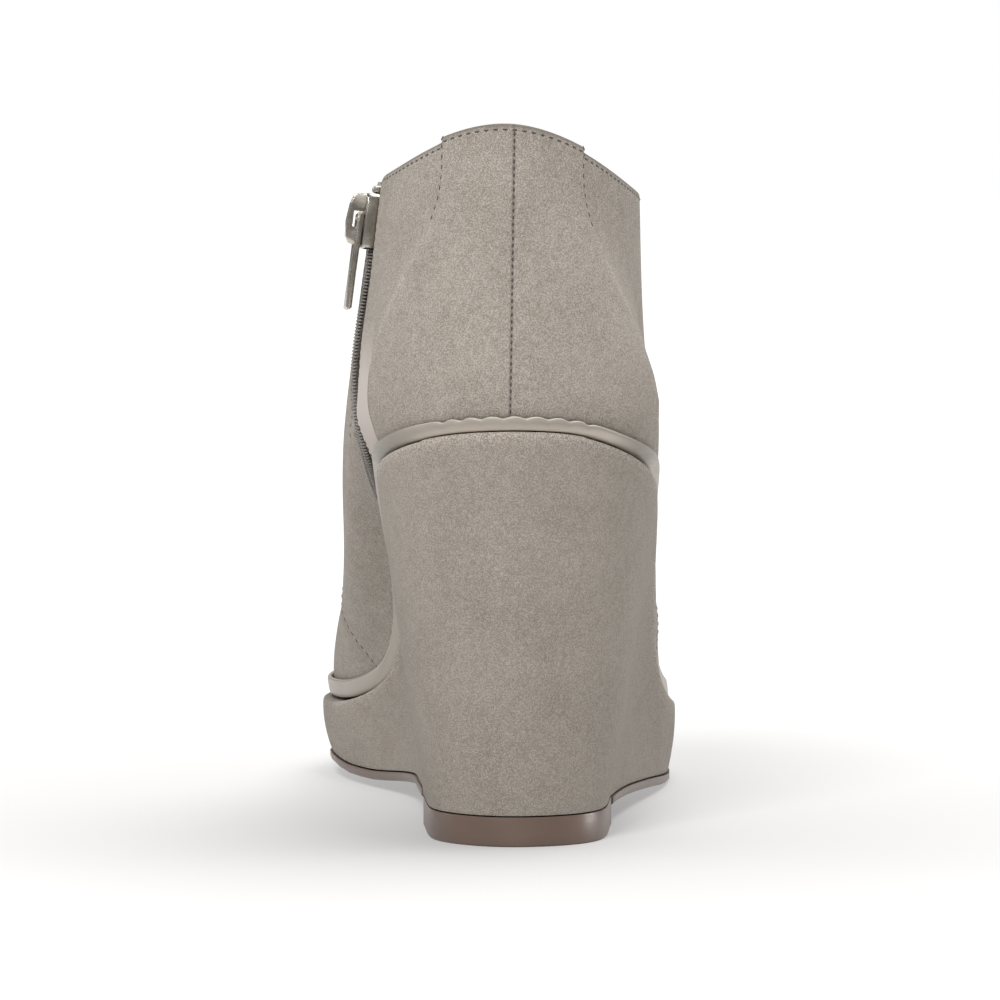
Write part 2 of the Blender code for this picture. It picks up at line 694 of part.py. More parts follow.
def make_rand(look):
    angles, tops = rand_angles()
    small = 0.01
    climb = np.linalg.norm(skin(angles, small) - skin(angles, 0), axis=-1) / small
    stand = rand_stand(angles)
    edge = RAND_THICKNESS / 3
    section = (
        (0, 0),
        (0, RAND_THICKNESS),
        (0.5, RAND_THICKNESS),
        (1 - edge / RAND_HEIGHT, RAND_THICKNESS),
        (1, RAND_THICKNESS - edge),
        (1, 0),
        (0.5, 0),
    )
    rings = [shell(angles, share * tops / climb, stand + out) for share, out in section]
    bm = bmesh.new()
    add_rings(bm, rings)
    bm.verts.ensure_lookup_table()
    count, last = len(angles), len(section) - 1
    for i in range(count):
        j = (i + 1) % count
        corners = (last * count + i, last * count + j, j, i)
        bm.faces.new([bm.verts[n] for n in corners])
    return add_part("rand", bm, look)


def follow_zip(name, look, heights, section):
    """A strip along the zip; section holds (across, out) corners, in order round the strip."""
    rings = []
    for height in heights:
        angles = zip_angles(height, [across for across, _ in section])
        rings.append(shell(angles, height, [out for _, out in section]))
    bm = bmesh.new()
    made = add_rings(bm, rings)
    bm.faces.new(made[0])
    bm.faces.new(made[-1])
    return add_part(name, bm, look)


def make_tape(look):
    rows = [row for row in ROWS if TAPE_FOOT_SHARE < row < TAPE_TOP_SHARE]
    heights = [TAPE_FOOT_SHARE, *rows, TAPE_TOP_SHARE]
    places = np.linspace(-TAPE_WIDTH / 2, TAPE_WIDTH / 2, 7)
    section = [(place, TAPE_FACE) for place in places]
    section += [(place, TAPE_FACE - TAPE_THICKNESS) for place in places[::-1]]
    return follow_zip("zip_tape", look, heights, section)


def make_chain(look):
    heights = np.linspace(SLOT_FOOT_SHARE + CHAIN_START_SHARE, SLIDER_SHARE - CHAIN_END_SHARE, 21)
    half, shoulder = CHAIN_WIDTH / 2, CHAIN_FOOT + CHAIN_THICKNESS * 0.6
    section = (
        (-half, CHAIN_FOOT),
        (half, CHAIN_FOOT),
        (half, shoulder),
        (half / 2, CHAIN_TOP),
        (-half / 2, CHAIN_TOP),
        (-half, shoulder),
    )
    return follow_zip("zip_chain", look, heights, section)


def zip_frame(height):
    """A frame on the zip: X forwards across it, Y down along it, Z outwards."""
    angle = zip_angles(height, (0,))[0]
    above = zip_angles(height + 0.01, (0,))[0]
    origin, higher = (Vector(p) for p in skin([angle, above], [height, height + 0.01]))
    out = Vector(normals(np.array([angle]), np.array([height]))[0])
    across = out.cross(higher - origin).normalized()
    down = out.cross(across)
    frame = Matrix((across, down, out)).transposed().to_4x4()
    frame.translation = origin
    return frame


def add_box(bm, low, high):
    """A box between two corners."""
    size, middle = Vector(high) - Vector(low), (Vector(high) + Vector(low)) / 2
    placed = Matrix.Translation(middle) @ Matrix.Diagonal((*size, 1))
    return bmesh.ops.create_cube(bm, size=1, matrix=placed)["verts"]


def place(part, frame, parent):
    """Puts a part that was modelled in a frame there, under its parent."""
    part.parent = parent
    part.matrix_world = frame
    return part


def make_stops(look, seat):
    """The two crimped stops above the slider, one on each edge of the tape."""
    top = zip_frame(SLIDER_SHARE + STOP_SHARE)
    for name, side in (("zip_stop_front", -1), ("zip_stop_rear", 1)):
        bm = bmesh.new()
        middle = side * STOP_OFFSET
        add_box(
            bm,
            (middle - STOP_SIZE / 2, -STOP_SIZE / 2, CHAIN_FOOT),
            (middle + STOP_SIZE / 2, STOP_SIZE / 2, CHAIN_FOOT + STOP_HEIGHT),
        )
        bmesh.ops.bevel(bm, geom=bm.edges, offset=STOP_SIZE / 6, segments=2, affect="EDGES")
        place(add_part(name, bm, look), top, seat)


def extruded(bm, outline, low, high):
    """A prism of an outline in the zip's (Y, Z) plane, between two places across it."""
    rings = [[bm.verts.new((x, y, z)) for y, z in outline] for x in (low, high)]
    count = len(outline)
    for i in range(count):
        j = (i + 1) % count
        bm.faces.new((rings[0][i], rings[0][j], rings[1][j], rings[1][i]))
    for ring in rings:
        bm.faces.new(ring)
    bmesh.ops.recalc_face_normals(bm, faces=bm.faces)


def bridge_point(corner):
    """A point of the bridge's side, down the zip and outwards."""
    return corner.down * SLIDER_LENGTH, PLATE_TOP + corner.out * BRIDGE_RISE


def make_slider(look, frame, seat):
    """The slider's plate, flanged over the chain, and the bridge that holds the pull."""
    half, inner = SLOT_WIDTH / 2 - 2.5 * GAP, CHAIN_WIDTH / 2 + 2 * GAP
    foot = CHAIN_FOOT + 2 * GAP
    crown = 0.25 * SLIDER_PLATE
    section = (
        (-inner, PLATE_FOOT),
        (-inner, foot),
        (-half, foot),
        (-half, PLATE_TOP - crown),
        (-half + crown, PLATE_TOP),
        (half - crown, PLATE_TOP),
        (half, PLATE_TOP - crown),
        (half, foot),
        (inner, foot),
        (inner, PLATE_FOOT),
    )
    bm = bmesh.new()
    rings = [
        [(x * span.wide, span.down * SLIDER_LENGTH, z) for x, z in section]
        for span in SLIDER_SPANS
    ]
    made = add_rings(bm, rings)
    bm.faces.new(made[0])
    bm.faces.new(made[-1])
    slider = add_part("zip_slider", bm, look)
    bridge = bmesh.new()
    outline = [bridge_point(corner) for corner in BRIDGE_SIDE]
    root = PLATE_TOP - 0.4 * SLIDER_PLATE
    outline = [(outline[0][0], root), *outline, (outline[-1][0], root)]
    extruded(bridge, outline, -BRIDGE_WIDTH / 2, BRIDGE_WIDTH / 2)
    low, high = (bridge_point(corner) for corner in BRIDGE_HOLE)
    hole = bmesh.new()
    add_box(hole, (-BRIDGE_WIDTH, *low), (BRIDGE_WIDTH, *high))
    bridge_body = add_part("bridge_body", bridge, look)
    hole_body = add_part("bridge_hole", hole, look)
    for helper in (bridge_body, hole_body):
        helper.hide_render = True
        helper.display_type = "WIRE"
        place(helper, frame, seat)
    combine(bridge_body, hole_body, "DIFFERENCE")
    combine(slider, bridge_body, "UNION")
    return place(slider, frame, seat)


def combine(body, other, operation):
    change = body.modifiers.new(other.name, "BOOLEAN")
    change.object = other
    change.operation = operation
    change.solver = "EXACT"


def make_pull(look, hinge):
    """The pull tab, whose end bar turns inside the bridge; its origin is on the hinge's axis."""
    bar = 0.6 * PULL_THICKNESS
    window_half = BRIDGE_WIDTH / 2 + 1.5 * GAP
    hinge_line = (HINGE_DOWN, HINGE_OUT)
    reach = max(math.dist(bridge_point(corner), hinge_line) for corner in BRIDGE_SIDE[4:])
    window_end = reach + 2 * GAP
    half, thick = PULL_WIDTH / 2, PULL_THICKNESS / 2
    rows = (
        (-bar, 1),
        (bar, 1),
        (window_end, 1),
        (PULL_WAIST_PLACE_SHARE * PULL_LENGTH, PULL_WAIST_SHARE),
        (PULL_LENGTH, 1),
    )
    bm = bmesh.new()
    grid = []
    for along_pull, wide in rows:
        inner = window_half if along_pull <= window_end else window_half * wide
        across = (-half * wide, -inner, inner, half * wide)
        grid.append([bm.verts.new((x, along_pull, -thick)) for x in across])
    for i in range(len(rows) - 1):
        for j in range(3):
            if (i, j) != (1, 1):
                bm.faces.new((grid[i][j], grid[i][j + 1], grid[i + 1][j + 1], grid[i + 1][j]))
    flat = bm.faces[:]
    lifted = bmesh.ops.extrude_face_region(bm, geom=flat)["geom"]
    top = [item for item in lifted if isinstance(item, bmesh.types.BMVert)]
    bmesh.ops.translate(bm, verts=top, vec=(0, 0, PULL_THICKNESS))
    bmesh.ops.recalc_face_normals(bm, faces=bm.faces)
    rims = [e for e in bm.edges if len(e.link_faces) == 2 and e.calc_face_angle() > 1]
    bmesh.ops.bevel(bm, geom=rims, offset=0.22 * PULL_THICKNESS, segments=2, affect="EDGES")
    return place(add_part("zip_pull", bm, look), hinge, None)


def main():
    for found in list(bpy.data.objects):
        bpy.data.objects.remove(found)
    suede = material("taupe microsuede", (0.235, 0.190, 0.165), 0.95)
    trim = material("satin taupe strip", (0.270, 0.220, 0.190), 0.45)
    rubber = material("brown rubber", (0.120, 0.080, 0.058), 0.50)
    lining = material("beige lining", (0.420, 0.350, 0.280), 0.85)
    tape = material("dark grey woven tape", (0.060, 0.058, 0.060), 0.80)
    pewter = material("pewter", (0.350, 0.340, 0.320), 0.32, 1.0)

    make_outsole(rubber)
    make_top_lift(rubber)
    make_wedge(suede)
    make_rand(trim)
    make_upper(suede)
    make_insole(lining)
    make_tape(tape)
    make_chain(tape)

    frame = zip_frame(SLIDER_SHARE)
    seat = bpy.data.objects.new("zip_seat", None)
    bpy.context.scene.collection.objects.link(seat)
    seat.matrix_world = frame
    bpy.context.view_layer.update()
    make_stops(pewter, seat)
    make_slider(pewter, frame, seat)
    make_pull(pewter, frame @ Matrix.Translation((0, HINGE_DOWN, HINGE_OUT)))


main()
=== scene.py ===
"""Looks of a wedge ankle boot: microsuede upper and covered wedge, gathered rand, side zip.

The frame is in metres, +Z up, with the toe to +Y and the zip on the inner side, -X.
"""

import math
from collections import namedtuple

import bmesh
import bpy
import numpy as np
from bpy.props import FloatProperty, FloatVectorProperty, PointerProperty
from mathutils import Matrix, Vector
from mathutils.bvhtree import BVHTree
from mathutils.kdtree import KDTree


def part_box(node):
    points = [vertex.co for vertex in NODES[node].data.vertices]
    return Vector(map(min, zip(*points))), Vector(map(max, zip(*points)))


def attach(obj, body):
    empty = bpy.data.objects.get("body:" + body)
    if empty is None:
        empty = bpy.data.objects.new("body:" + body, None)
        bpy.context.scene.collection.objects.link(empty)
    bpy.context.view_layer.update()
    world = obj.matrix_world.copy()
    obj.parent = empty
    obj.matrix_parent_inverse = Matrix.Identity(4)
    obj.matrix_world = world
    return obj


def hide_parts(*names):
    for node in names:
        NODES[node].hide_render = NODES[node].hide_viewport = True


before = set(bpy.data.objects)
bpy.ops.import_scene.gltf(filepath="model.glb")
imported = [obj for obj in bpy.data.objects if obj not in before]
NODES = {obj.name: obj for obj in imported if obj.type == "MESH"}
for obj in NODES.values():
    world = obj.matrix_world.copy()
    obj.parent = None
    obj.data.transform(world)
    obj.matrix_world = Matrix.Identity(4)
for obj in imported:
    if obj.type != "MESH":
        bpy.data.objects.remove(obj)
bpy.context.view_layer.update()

bl_info = {
    "name": "Wedge Ankle Boot",
    "version": (1, 0, 0),
    "blender": (4, 5, 0),
    "location": "3D View > Sidebar > Boot",
    "description": "Dresses a wedge ankle boot in suede, with its rand, zip, stitching and sole",
    "category": "Object",
}

MM = 0.001

# The centre-back seam: x where it starts under the collar and where it meets the rand.
BACK_SEAM_TOP = Vector((0.1, 0, 168)) * MM
BACK_SEAM_FOOT = Vector((-0.9, 0, 102)) * MM

# The smooth strip behind the zip: its width, how soft its edge is marked, and between which
# heights it appears, downwards.
FACING_WIDTH = 16 * MM
FACING_EDGE = 2 * MM
FACING_FADE = (123 * MM, 109 * MM)

# The back panel's edges are stitched above one height. Below another they carry a pale painted
# highlight, which comes in over some height, and so far to each side. The collar's dark rim is
# narrower.
PANEL_SEWN_ABOVE = 141 * MM
HIGHLIGHT_BELOW = 146 * MM
HIGHLIGHT_FADE = 14 * MM
HIGHLIGHT_WIDTH = 1.4 * MM
RIM_WIDTH = 0.6 * MM

# The wedge's upper edge: how far down the pale nap and its painted highlight show, and above what
# height they lie.
NAP_HIGHLIGHT_WIDTH = 1.2 * MM
NAP_HIGHLIGHT_ABOVE = 20 * MM

# Where the upper turns more sharply than this, in degrees, the lining ends.
LINING_TURN = 65

# Soft creases of the upper, in millimetres: where each starts, passes and ends, how wide it is
# and how deep. A ridge stands up instead, with a negative depth.
Crease = namedtuple("Crease", "start middle end width depth")
UPPER_CREASES = (
    Crease((-30, 52, 118), (-2, 68, 122), (29, 54, 119), 5.0, 1.2),
    Crease((-31, 46, 126), (-2, 60, 131), (29, 48, 127), 4.5, -0.70),
    Crease((-33, 56, 107), (-3, 80, 109), (31, 58, 108), 6.0, 0.95),
    Crease((-34, 80, 72), (-16, 112, 84), (3, 117, 80), 4.0, 0.75),
    Crease((34, 84, 66), (18, 114, 79), (1, 123, 74), 4.5, 0.80),
    Crease((-38, 104, 52), (-18, 130, 62), (0, 138, 62), 4.0, 0.50),
    Crease((30, -4, 134), (33, 6, 126), (35, 18, 112), 4.5, 0.50),
    Crease((-31, -6, 131), (-34, 2, 122), (-36, 8, 108), 4.5, 0.45),
    Crease((24, -16, 122), (30, -8, 108), (34, 6, 99), 5.0, -0.35),
    Crease((-14, -27, 120), (-3, -30, 113), (10, -28, 118), 7.0, 0.25),
)

# The upper's sewn edges: between which corners, in millimetres, each lies, how sharply it turns in
# degrees and how steeply it climbs, from 0 for level to 1 for upright.
Sewn = namedtuple("Sewn", "name low high turn climbs")
SEWN_EDGES = (
    Sewn("collar", (-50, -50, 138), (50, 60, 190), 60, (0, 0.75)),
    Sewn("slot", (-50, 8, 84), (-24, 32, 160), 40, (0.3, 1)),
    Sewn("vamp", (-50, 80, 0), (50, 114, 120), 25, (0, 1)),
    Sewn("panel", (-50, -40, 80), (-12, -3, 170), 25, (0.3, 1)),
    Sewn("panel", (12, -40, 80), (50, 6, 170), 25, (0.3, 1)),
)

# The zip's slot seen from the side, in millimetres: at each height, how far forward the CAD's edge
# lies and where the sewn edge lies, which runs more evenly into its turn above the rand.
Edge = namedtuple("Edge", "height built sewn")
SLOT_REAR = (
    Edge(74.0, 33.8, 33.8),
    Edge(85.9, 21.8, 21.8),
    Edge(92.8, 14.9, 15.6),
    Edge(97.8, 11.0, 13.2),
    Edge(100.8, 11.8, 12.5),
    Edge(103.2, 14.1, 12.2),
    Edge(106.8, 14.2, 11.95),
    Edge(112.1, 12.5, 11.75),
    Edge(117.7, 11.8, 11.6),
    Edge(124.3, 11.5, 11.5),
    Edge(139.2, 11.4, 11.4),
    Edge(153.4, 13.1, 13.1),
)
SLOT_FRONT = (
    Edge(74.0, 34.8, 34.8),
    Edge(84.0, 27.0, 27.0),
    Edge(89.0, 22.4, 23.0),
    Edge(94.4, 18.6, 20.7),
    Edge(97.0, 19.2, 20.1),
    Edge(98.9, 21.3, 19.8),
    Edge(102.5, 21.3, 19.4),
    Edge(107.8, 19.6, 19.05),
    Edge(113.5, 18.9, 18.85),
    Edge(120.3, 18.7, 18.7),
    Edge(136.2, 19.0, 19.0),
    Edge(152.2, 21.4, 21.4),
)

# The zip's side of the boot, in millimetres: x is below ZIP_SIDE there. The skin is fitted on a
# patch given by its y and z, and measured from the zip's middle in steps of ZIP_SPREAD. Around the
# slot the skin is evened out over EVENED_REACH.
ZIP_SIDE = -15
ZIP_PATCH = ((-5, 45), (78, 150))
ZIP_MIDDLE = (16, 115)
ZIP_SPREAD = (20, 30)
EVENED_REACH = 7

# One turn of the coil: its length as a share of the pitch, its width and its thickness, and how
# far it lies beside the chain's middle line and outwards from it. The coil starts this many
# millimetres below the chain, behind the rand.
TURN_SHARE = 0.74
TURN_WIDTH = 2.1 * MM
TURN_THICKNESS = 1.7 * MM
TURN_ASIDE = 1.05 * MM
TURN_RAISED = 0.4 * MM
COIL_BELOW_CHAIN = 2

# The top of the window in the slider's bridge, the zip's ways down and outwards there, and the
# lock's size across, down and outwards.
BRIDGE_WINDOW_TOP = Vector((-36.86, 15.66, 148.68)) * MM
ZIP_DOWN = Vector((-0.129, -0.108, -0.986))
ZIP_OUT = Vector((-0.983, -0.117, 0.142))
LOCK_SIZE = (0.9 * MM, 1.1 * MM, 2.8 * MM)

# The vamp seam, seen from the side, in millimetres: where it meets the rand, where it crosses the
# instep, and how far from that line its edges lie at most.
VAMP_SEAM_FOOT = Vector((0, 88.3, 27.0))
VAMP_SEAM_RIDGE = Vector((0, 108.9, 73.1))
VAMP_SEAM_REACH = 1.5

# The rand's scallops lie behind SCALLOPS_BEHIND. A cusp between two of them is lower than the edge
# within CUSP_REACH of it, and its pleat runs down the rand for PLEAT_LENGTH.
SCALLOPS_BEHIND = -14 * MM
CUSP_DEPTH = 0.28 * MM
CUSP_NEAR = 0.1 * MM
CUSP_REACH = 1.1 * MM
CUSP_HEIGHT = 0.9 * MM
PLEAT_LENGTH = 3 * MM

# The rand is painted darker, as shade under the upper's overhang, where it turns forward beside the
# heel:
# from this far off the boot's middle, over some width, and over some length behind the ankle.
CORNER_FROM = 22 * MM
CORNER_WIDTH = 7 * MM
CORNER_LENGTH = 10 * MM

# No crease reaches further than this from its middle.
CREASE_REACH = 60 * MM

# The length of one band of Blender's wave texture, at a scale of 1.
WAVE_BAND = 0.314

# The camera stands behind the heel, a little above the collar, and looks slightly down.
CAMERA_PLACE = Vector((-0.0033, -1.5305, 0.1897))
CAMERA_TILT = math.radians(4.094)
CAMERA_LENS = 233.1


def linear(code):
    """A colour written as an sRGB hex code, as the linear values that shaders take."""
    values = [int(code[i : i + 2], 16) / 255 for i in (1, 3, 5)]
    return [v / 12.92 if v <= 0.04045 else ((v + 0.055) / 1.055) ** 2.4 for v in values]


def colour(name, description, code):
    return FloatVectorProperty(
        name=name,
        description=description,
        subtype="COLOR",
        size=3,
        min=0,
        max=1,
        default=linear(code),
    )


def length(name, description, millimetres):
    return FloatProperty(
        name=name,
        description=description,
        default=millimetres * MM,
        min=0,
        unit="LENGTH",
        precision=5,
    )


class BootSizes(bpy.types.PropertyGroup):
    """Sizes of the boot's small work."""

    edge_pitch: length("Edge stitch", "Distance from one edge stitch to the next", 2.2)
    seam_pitch: length("Seam stitch", "Distance from one centre-back stitch to the next", 1.63)
    thread_width: length("Thread width", "Width of the sewing thread", 0.46)
    collar_margin: length("Collar margin", "Distance of the stitching from the collar", 1.3)
    edge_margin: length("Edge margin", "Distance of the other stitching from its edge", 1.4)
    nap_grain: length("Nap grain", "Size of the microsuede's specks", 0.22)
    gather_depth: length("Gather depth", "How far the rand sinks between two gathers", 0.07)
    coil_pitch: length("Coil pitch", "Distance between the zip coil's turns", 0.8)
    weave_pitch: length("Weave pitch", "Width of one rib of the zip tape", 0.5)
    tread_pitch: length("Tread pitch", "Distance between the outsole's fine ribs", 2.4)


class BootColours(bpy.types.PropertyGroup):
    """Colours of the boot's materials."""

    suede: colour("Suede", "Brushed microsuede", "#aaa299")
    suede_shade: colour("Suede shade", "Microsuede brushed the other way", "#7d756c")
    # The cover is the upper's microsuede painted darker, as shade on the wedge, which faces a
    # little down, away from the lights.
    cover: colour("Wedge cover", "Microsuede drawn tight over the wedge", "#a29a91")
    facing: colour("Facing", "Smooth folded strip beside the zip", "#b6ada6")
    rand: colour("Rand", "Satin strip round the boot", "#948c82")
    rubber: colour("Rubber", "Top-lift and outsole", "#655349")
    lining: colour("Lining", "Lining and sock", "#b5a790")
    zip_cloth: colour("Zip cloth", "Woven tape of the zip", "#4c4843")
    coil: colour("Coil", "Zip coil", "#8a847d")
    thread: colour("Thread", "Sewing thread", "#453d36")
    pewter: colour("Pewter", "Zip hardware", "#b4ada3")
    floor: colour("Floor", "Studio floor", "#aaa9a8")


def sizes():
    return bpy.context.scene.boot_sizes


def colours():
    return bpy.context.scene.boot_colours


def rgba(value):
    return (*value, 1)


def add_node(tree, kind, inputs=None, **settings):
    """A shader node with its settings; an input is a plain value, a node or one of its sockets."""
    made = tree.nodes.new(kind)
    for name, value in settings.items():
        setattr(made, name, value)
    for name, value in (inputs or {}).items():
        if isinstance(value, bpy.types.Node):
            value = next(socket for socket in value.outputs if socket.enabled)
        if isinstance(value, bpy.types.NodeSocket):
            tree.links.new(value, made.inputs[name])
        else:
            made.inputs[name].default_value = value
    return made


def new_material(name, base, roughness, **sockets):
    """A material, its node tree, its surface shader with plain values, and its coordinates."""
    made = bpy.data.materials.new(name)
    made.use_nodes = True
    made.diffuse_color = rgba(base)
    surface = made.node_tree.nodes["Principled BSDF"]
    surface.inputs["Base Color"].default_value = rgba(base)
    surface.inputs["Roughness"].default_value = roughness
    for socket, value in sockets.items():
        surface.inputs[socket.replace("_", " ")].default_value = value
    place = add_node(made.node_tree, "ShaderNodeTexCoord").outputs["Object"]
    return made, made.node_tree, surface, place


def wire(tree, surface, **sources):
    """Links nodes to the surface shader's sockets."""
    for socket, node in sources.items():
        output = next(found for found in node.outputs if found.enabled)
        tree.links.new(output, surface.inputs[socket.replace("_", " ")])


def shaded(value, share):
    """A darker or lighter version of a colour."""
    return (*(min(1, v * share) for v in value), 1)


def specks_of(size):
    """The noise scale that gives specks of about this size, in metres."""
    return 0.7 / size


def microsuede(name, suede, upper=False):
    """Polyester microsuede: a short brushed nap, matt, with a pale bloom where light grazes it.

    The nap lies this way and that, so it is speckled by single tufts and softly mottled. The
    tufts are drawn a little coarser than the real fibre, so that they show."""
    tones = colours()
    grain = sizes().nap_grain
    made, tree, surface, place = new_material(
        name, suede, 0.95, Sheen_Weight=0.1, Sheen_Roughness=0.5, Specular_IOR_Level=0.2
    )
    surface.inputs["Sheen Tint"].default_value = (0.95, 0.92, 0.88, 1)
    layers = []
    for size, detail, twist in ((grain, 1, 0.4), (6 * grain, 3, 0.4), (65 * grain, 2, 0)):
        speck = add_node(
            tree,
            "ShaderNodeTexNoise",
            {
                "Vector": place,
                "Scale": specks_of(size),
                "Detail": detail,
                "Roughness": 0.6,
                "Distortion": twist,
            },
        )
        layers.append(
            add_node(
                tree, "ShaderNodeMapRange", {"Value": speck, "From Min": 0.4, "From Max": 0.6}
            )
        )
    fine, strokes, patches = layers
    tone = add_node(tree, "ShaderNodeMath", {0: fine, 1: 0.72}, operation="MULTIPLY")
    for layer, share in ((strokes, 0.16), (patches, 0.12)):
        tone = add_node(
            tree, "ShaderNodeMath", {0: layer, 1: share, 2: tone}, operation="MULTIPLY_ADD"
        )
    base = add_node(
        tree,
        "ShaderNodeMix",
        {0: tone, 6: rgba(tones.suede_shade), 7: rgba(suede)},
        data_type="RGBA",
    )
    height = add_node(
        tree, "ShaderNodeMath", {0: strokes, 1: 0.4, 2: fine}, operation="MULTIPLY_ADD"
    )
    # Painted highlight: the suede is lighter along the back panel's edges and on the wedge cover's
    # upper rim.
    painted_highlight = add_node(tree, "ShaderNodeAttribute", attribute_name="painted_highlight").outputs["Fac"]
    painted_highlight = add_node(tree, "ShaderNodeMath", {0: painted_highlight, 1: fine}, operation="MULTIPLY")
    base = add_node(
        tree, "ShaderNodeMix", {0: painted_highlight, 6: base, 7: shaded(suede, 1.4)}, data_type="RGBA"
    )
    if upper:
        base, height = with_seam_and_facing(tree, place, base, height)
    relief = add_node(
        tree, "ShaderNodeBump", {"Height": height, "Distance": 0.1 * MM, "Strength": 0.8}
    )
    wire(tree, surface, Base_Color=base, Normal=relief)
    return made


def with_seam_and_facing(tree, place, base, height):
    """Adds the centre-back seam's valley with painted shade in it, the smooth strip by the zip and
    the collar's rim.

    The valley is where x is near the seam's line and y is behind the boot's middle."""
    tones = colours()
    axes = add_node(tree, "ShaderNodeSeparateXYZ", {0: place})
    lean = (BACK_SEAM_TOP.x - BACK_SEAM_FOOT.x) / (BACK_SEAM_TOP.z - BACK_SEAM_FOOT.z)
    start = BACK_SEAM_FOOT.x - lean * BACK_SEAM_FOOT.z
    line = add_node(
        tree,
        "ShaderNodeMath",
        {0: axes.outputs["Z"], 1: lean, 2: start},
        operation="MULTIPLY_ADD",
    )
    off = add_node(tree, "ShaderNodeMath", {0: axes.outputs["X"], 1: line}, operation="SUBTRACT")
    off = add_node(tree, "ShaderNodeMath", {0: off}, operation="ABSOLUTE")
    ahead = add_node(
        tree, "ShaderNodeMath", {0: axes.outputs["Y"], 1: 0.0}, operation="MAXIMUM"
    )
    off = add_node(tree, "ShaderNodeMath", {0: off, 1: ahead}, operation="ADD")
    valley = add_node(
        tree,
        "ShaderNodeMapRange",
        {"Value": off, "From Max": 0.5 * MM, "To Min": 1.0, "To Max": 0.0},
    )
    # Painted shade darkens the suede in the seam's valley.
    shade = add_node(tree, "ShaderNodeMath", {0: valley, 1: 0.4}, operation="MULTIPLY")
    height = add_node(
        tree, "ShaderNodeMath", {0: valley, 1: -4.0, 2: height}, operation="MULTIPLY_ADD"
    )
    strip = add_node(tree, "ShaderNodeAttribute", attribute_name="facing").outputs["Fac"]
    facing = add_node(
        tree, "ShaderNodeMapRange", {"Value": strip, "From Min": 0.47, "From Max": 0.53}
    )
    start, end = FACING_FADE
    low = add_node(
        tree,
        "ShaderNodeMapRange",
        {"Value": axes.outputs["Z"], "From Min": start, "From Max": end},
    )
    facing = add_node(tree, "ShaderNodeMath", {0: facing, 1: low}, operation="MULTIPLY")
    rim = add_node(tree, "ShaderNodeAttribute", attribute_name="rim").outputs["Fac"]
    edge = add_node(tree, "ShaderNodeMath", {0: strip, 1: 0.5, 2: 0.05}, operation="COMPARE")
    edge = add_node(tree, "ShaderNodeMath", {0: edge, 1: low}, operation="MULTIPLY")
    edge = add_node(tree, "ShaderNodeMath", {0: edge, 1: 0.75}, operation="MULTIPLY")
    marks = (
        (shade, shaded(tones.suede_shade, 0.5)),
        (facing, rgba(tones.facing)),
        (rim, shaded(tones.suede_shade, 0.7)),
        (edge, shaded(tones.suede_shade, 0.45)),
    )
    for share, tone in marks:
        base = add_node(tree, "ShaderNodeMix", {0: share, 6: base, 7: tone}, data_type="RGBA")
    flat = add_node(tree, "ShaderNodeMath", {0: 1.0, 1: facing}, operation="SUBTRACT")
    height = add_node(tree, "ShaderNodeMath", {0: height, 1: flat}, operation="MULTIPLY")
    return base, height


def satin_strip(name):
    """Coated synthetic leather: smooth and satin, with faint streaks drawn along the strip."""
    tones = colours()
    made, tree, surface, place = new_material(
        name, tones.rand, 0.4, Coat_Weight=0.1, Coat_Roughness=0.3
    )
    drawn = add_node(tree, "ShaderNodeMapping", {"Vector": place, "Scale": (0.12, 0.12, 1)})
    streaks = add_node(
        tree,
        "ShaderNodeTexNoise",
        {"Vector": drawn, "Scale": specks_of(0.45 * MM), "Detail": 3, "Roughness": 0.6},
    )
    mottle = add_node(tree, "ShaderNodeTexNoise", {"Vector": place, "Scale": specks_of(12 * MM)})
    tone = add_node(
        tree, "ShaderNodeMath", {0: streaks, 1: 0.5, 2: mottle}, operation="MULTIPLY_ADD"
    )
    tone = add_node(tree, "ShaderNodeMapRange", {"Value": tone, "From Min": 0.5, "From Max": 1.0})
    base = add_node(
        tree,
        "ShaderNodeMix",
        {0: tone, 6: shaded(tones.rand, 0.88), 7: shaded(tones.rand, 1.06)},
        data_type="RGBA",
    )
    # Painted highlight on the rand's up- and down-facing folds, and painted shade on its turns
    # beside the heel.
    for mark, share in (("scuffs_and_highlight", 1.8), ("shade", 0.7)):
        marked = add_node(tree, "ShaderNodeAttribute", attribute_name=mark).outputs["Fac"]
        base = add_node(
            tree,
            "ShaderNodeMix",
            {0: marked, 6: base, 7: shaded(tones.rand, share)},
            data_type="RGBA",
        )
    gloss = add_node(
        tree,
        "ShaderNodeMapRange",
        {"Value": streaks, "From Min": 0.3, "From Max": 0.7, "To Min": 0.34, "To Max": 0.48},
    )
    relief = add_node(
        tree, "ShaderNodeBump", {"Height": streaks, "Distance": 0.05 * MM, "Strength": 0.5}
    )
    wire(tree, surface, Base_Color=base, Roughness=gloss, Normal=relief)
    return made


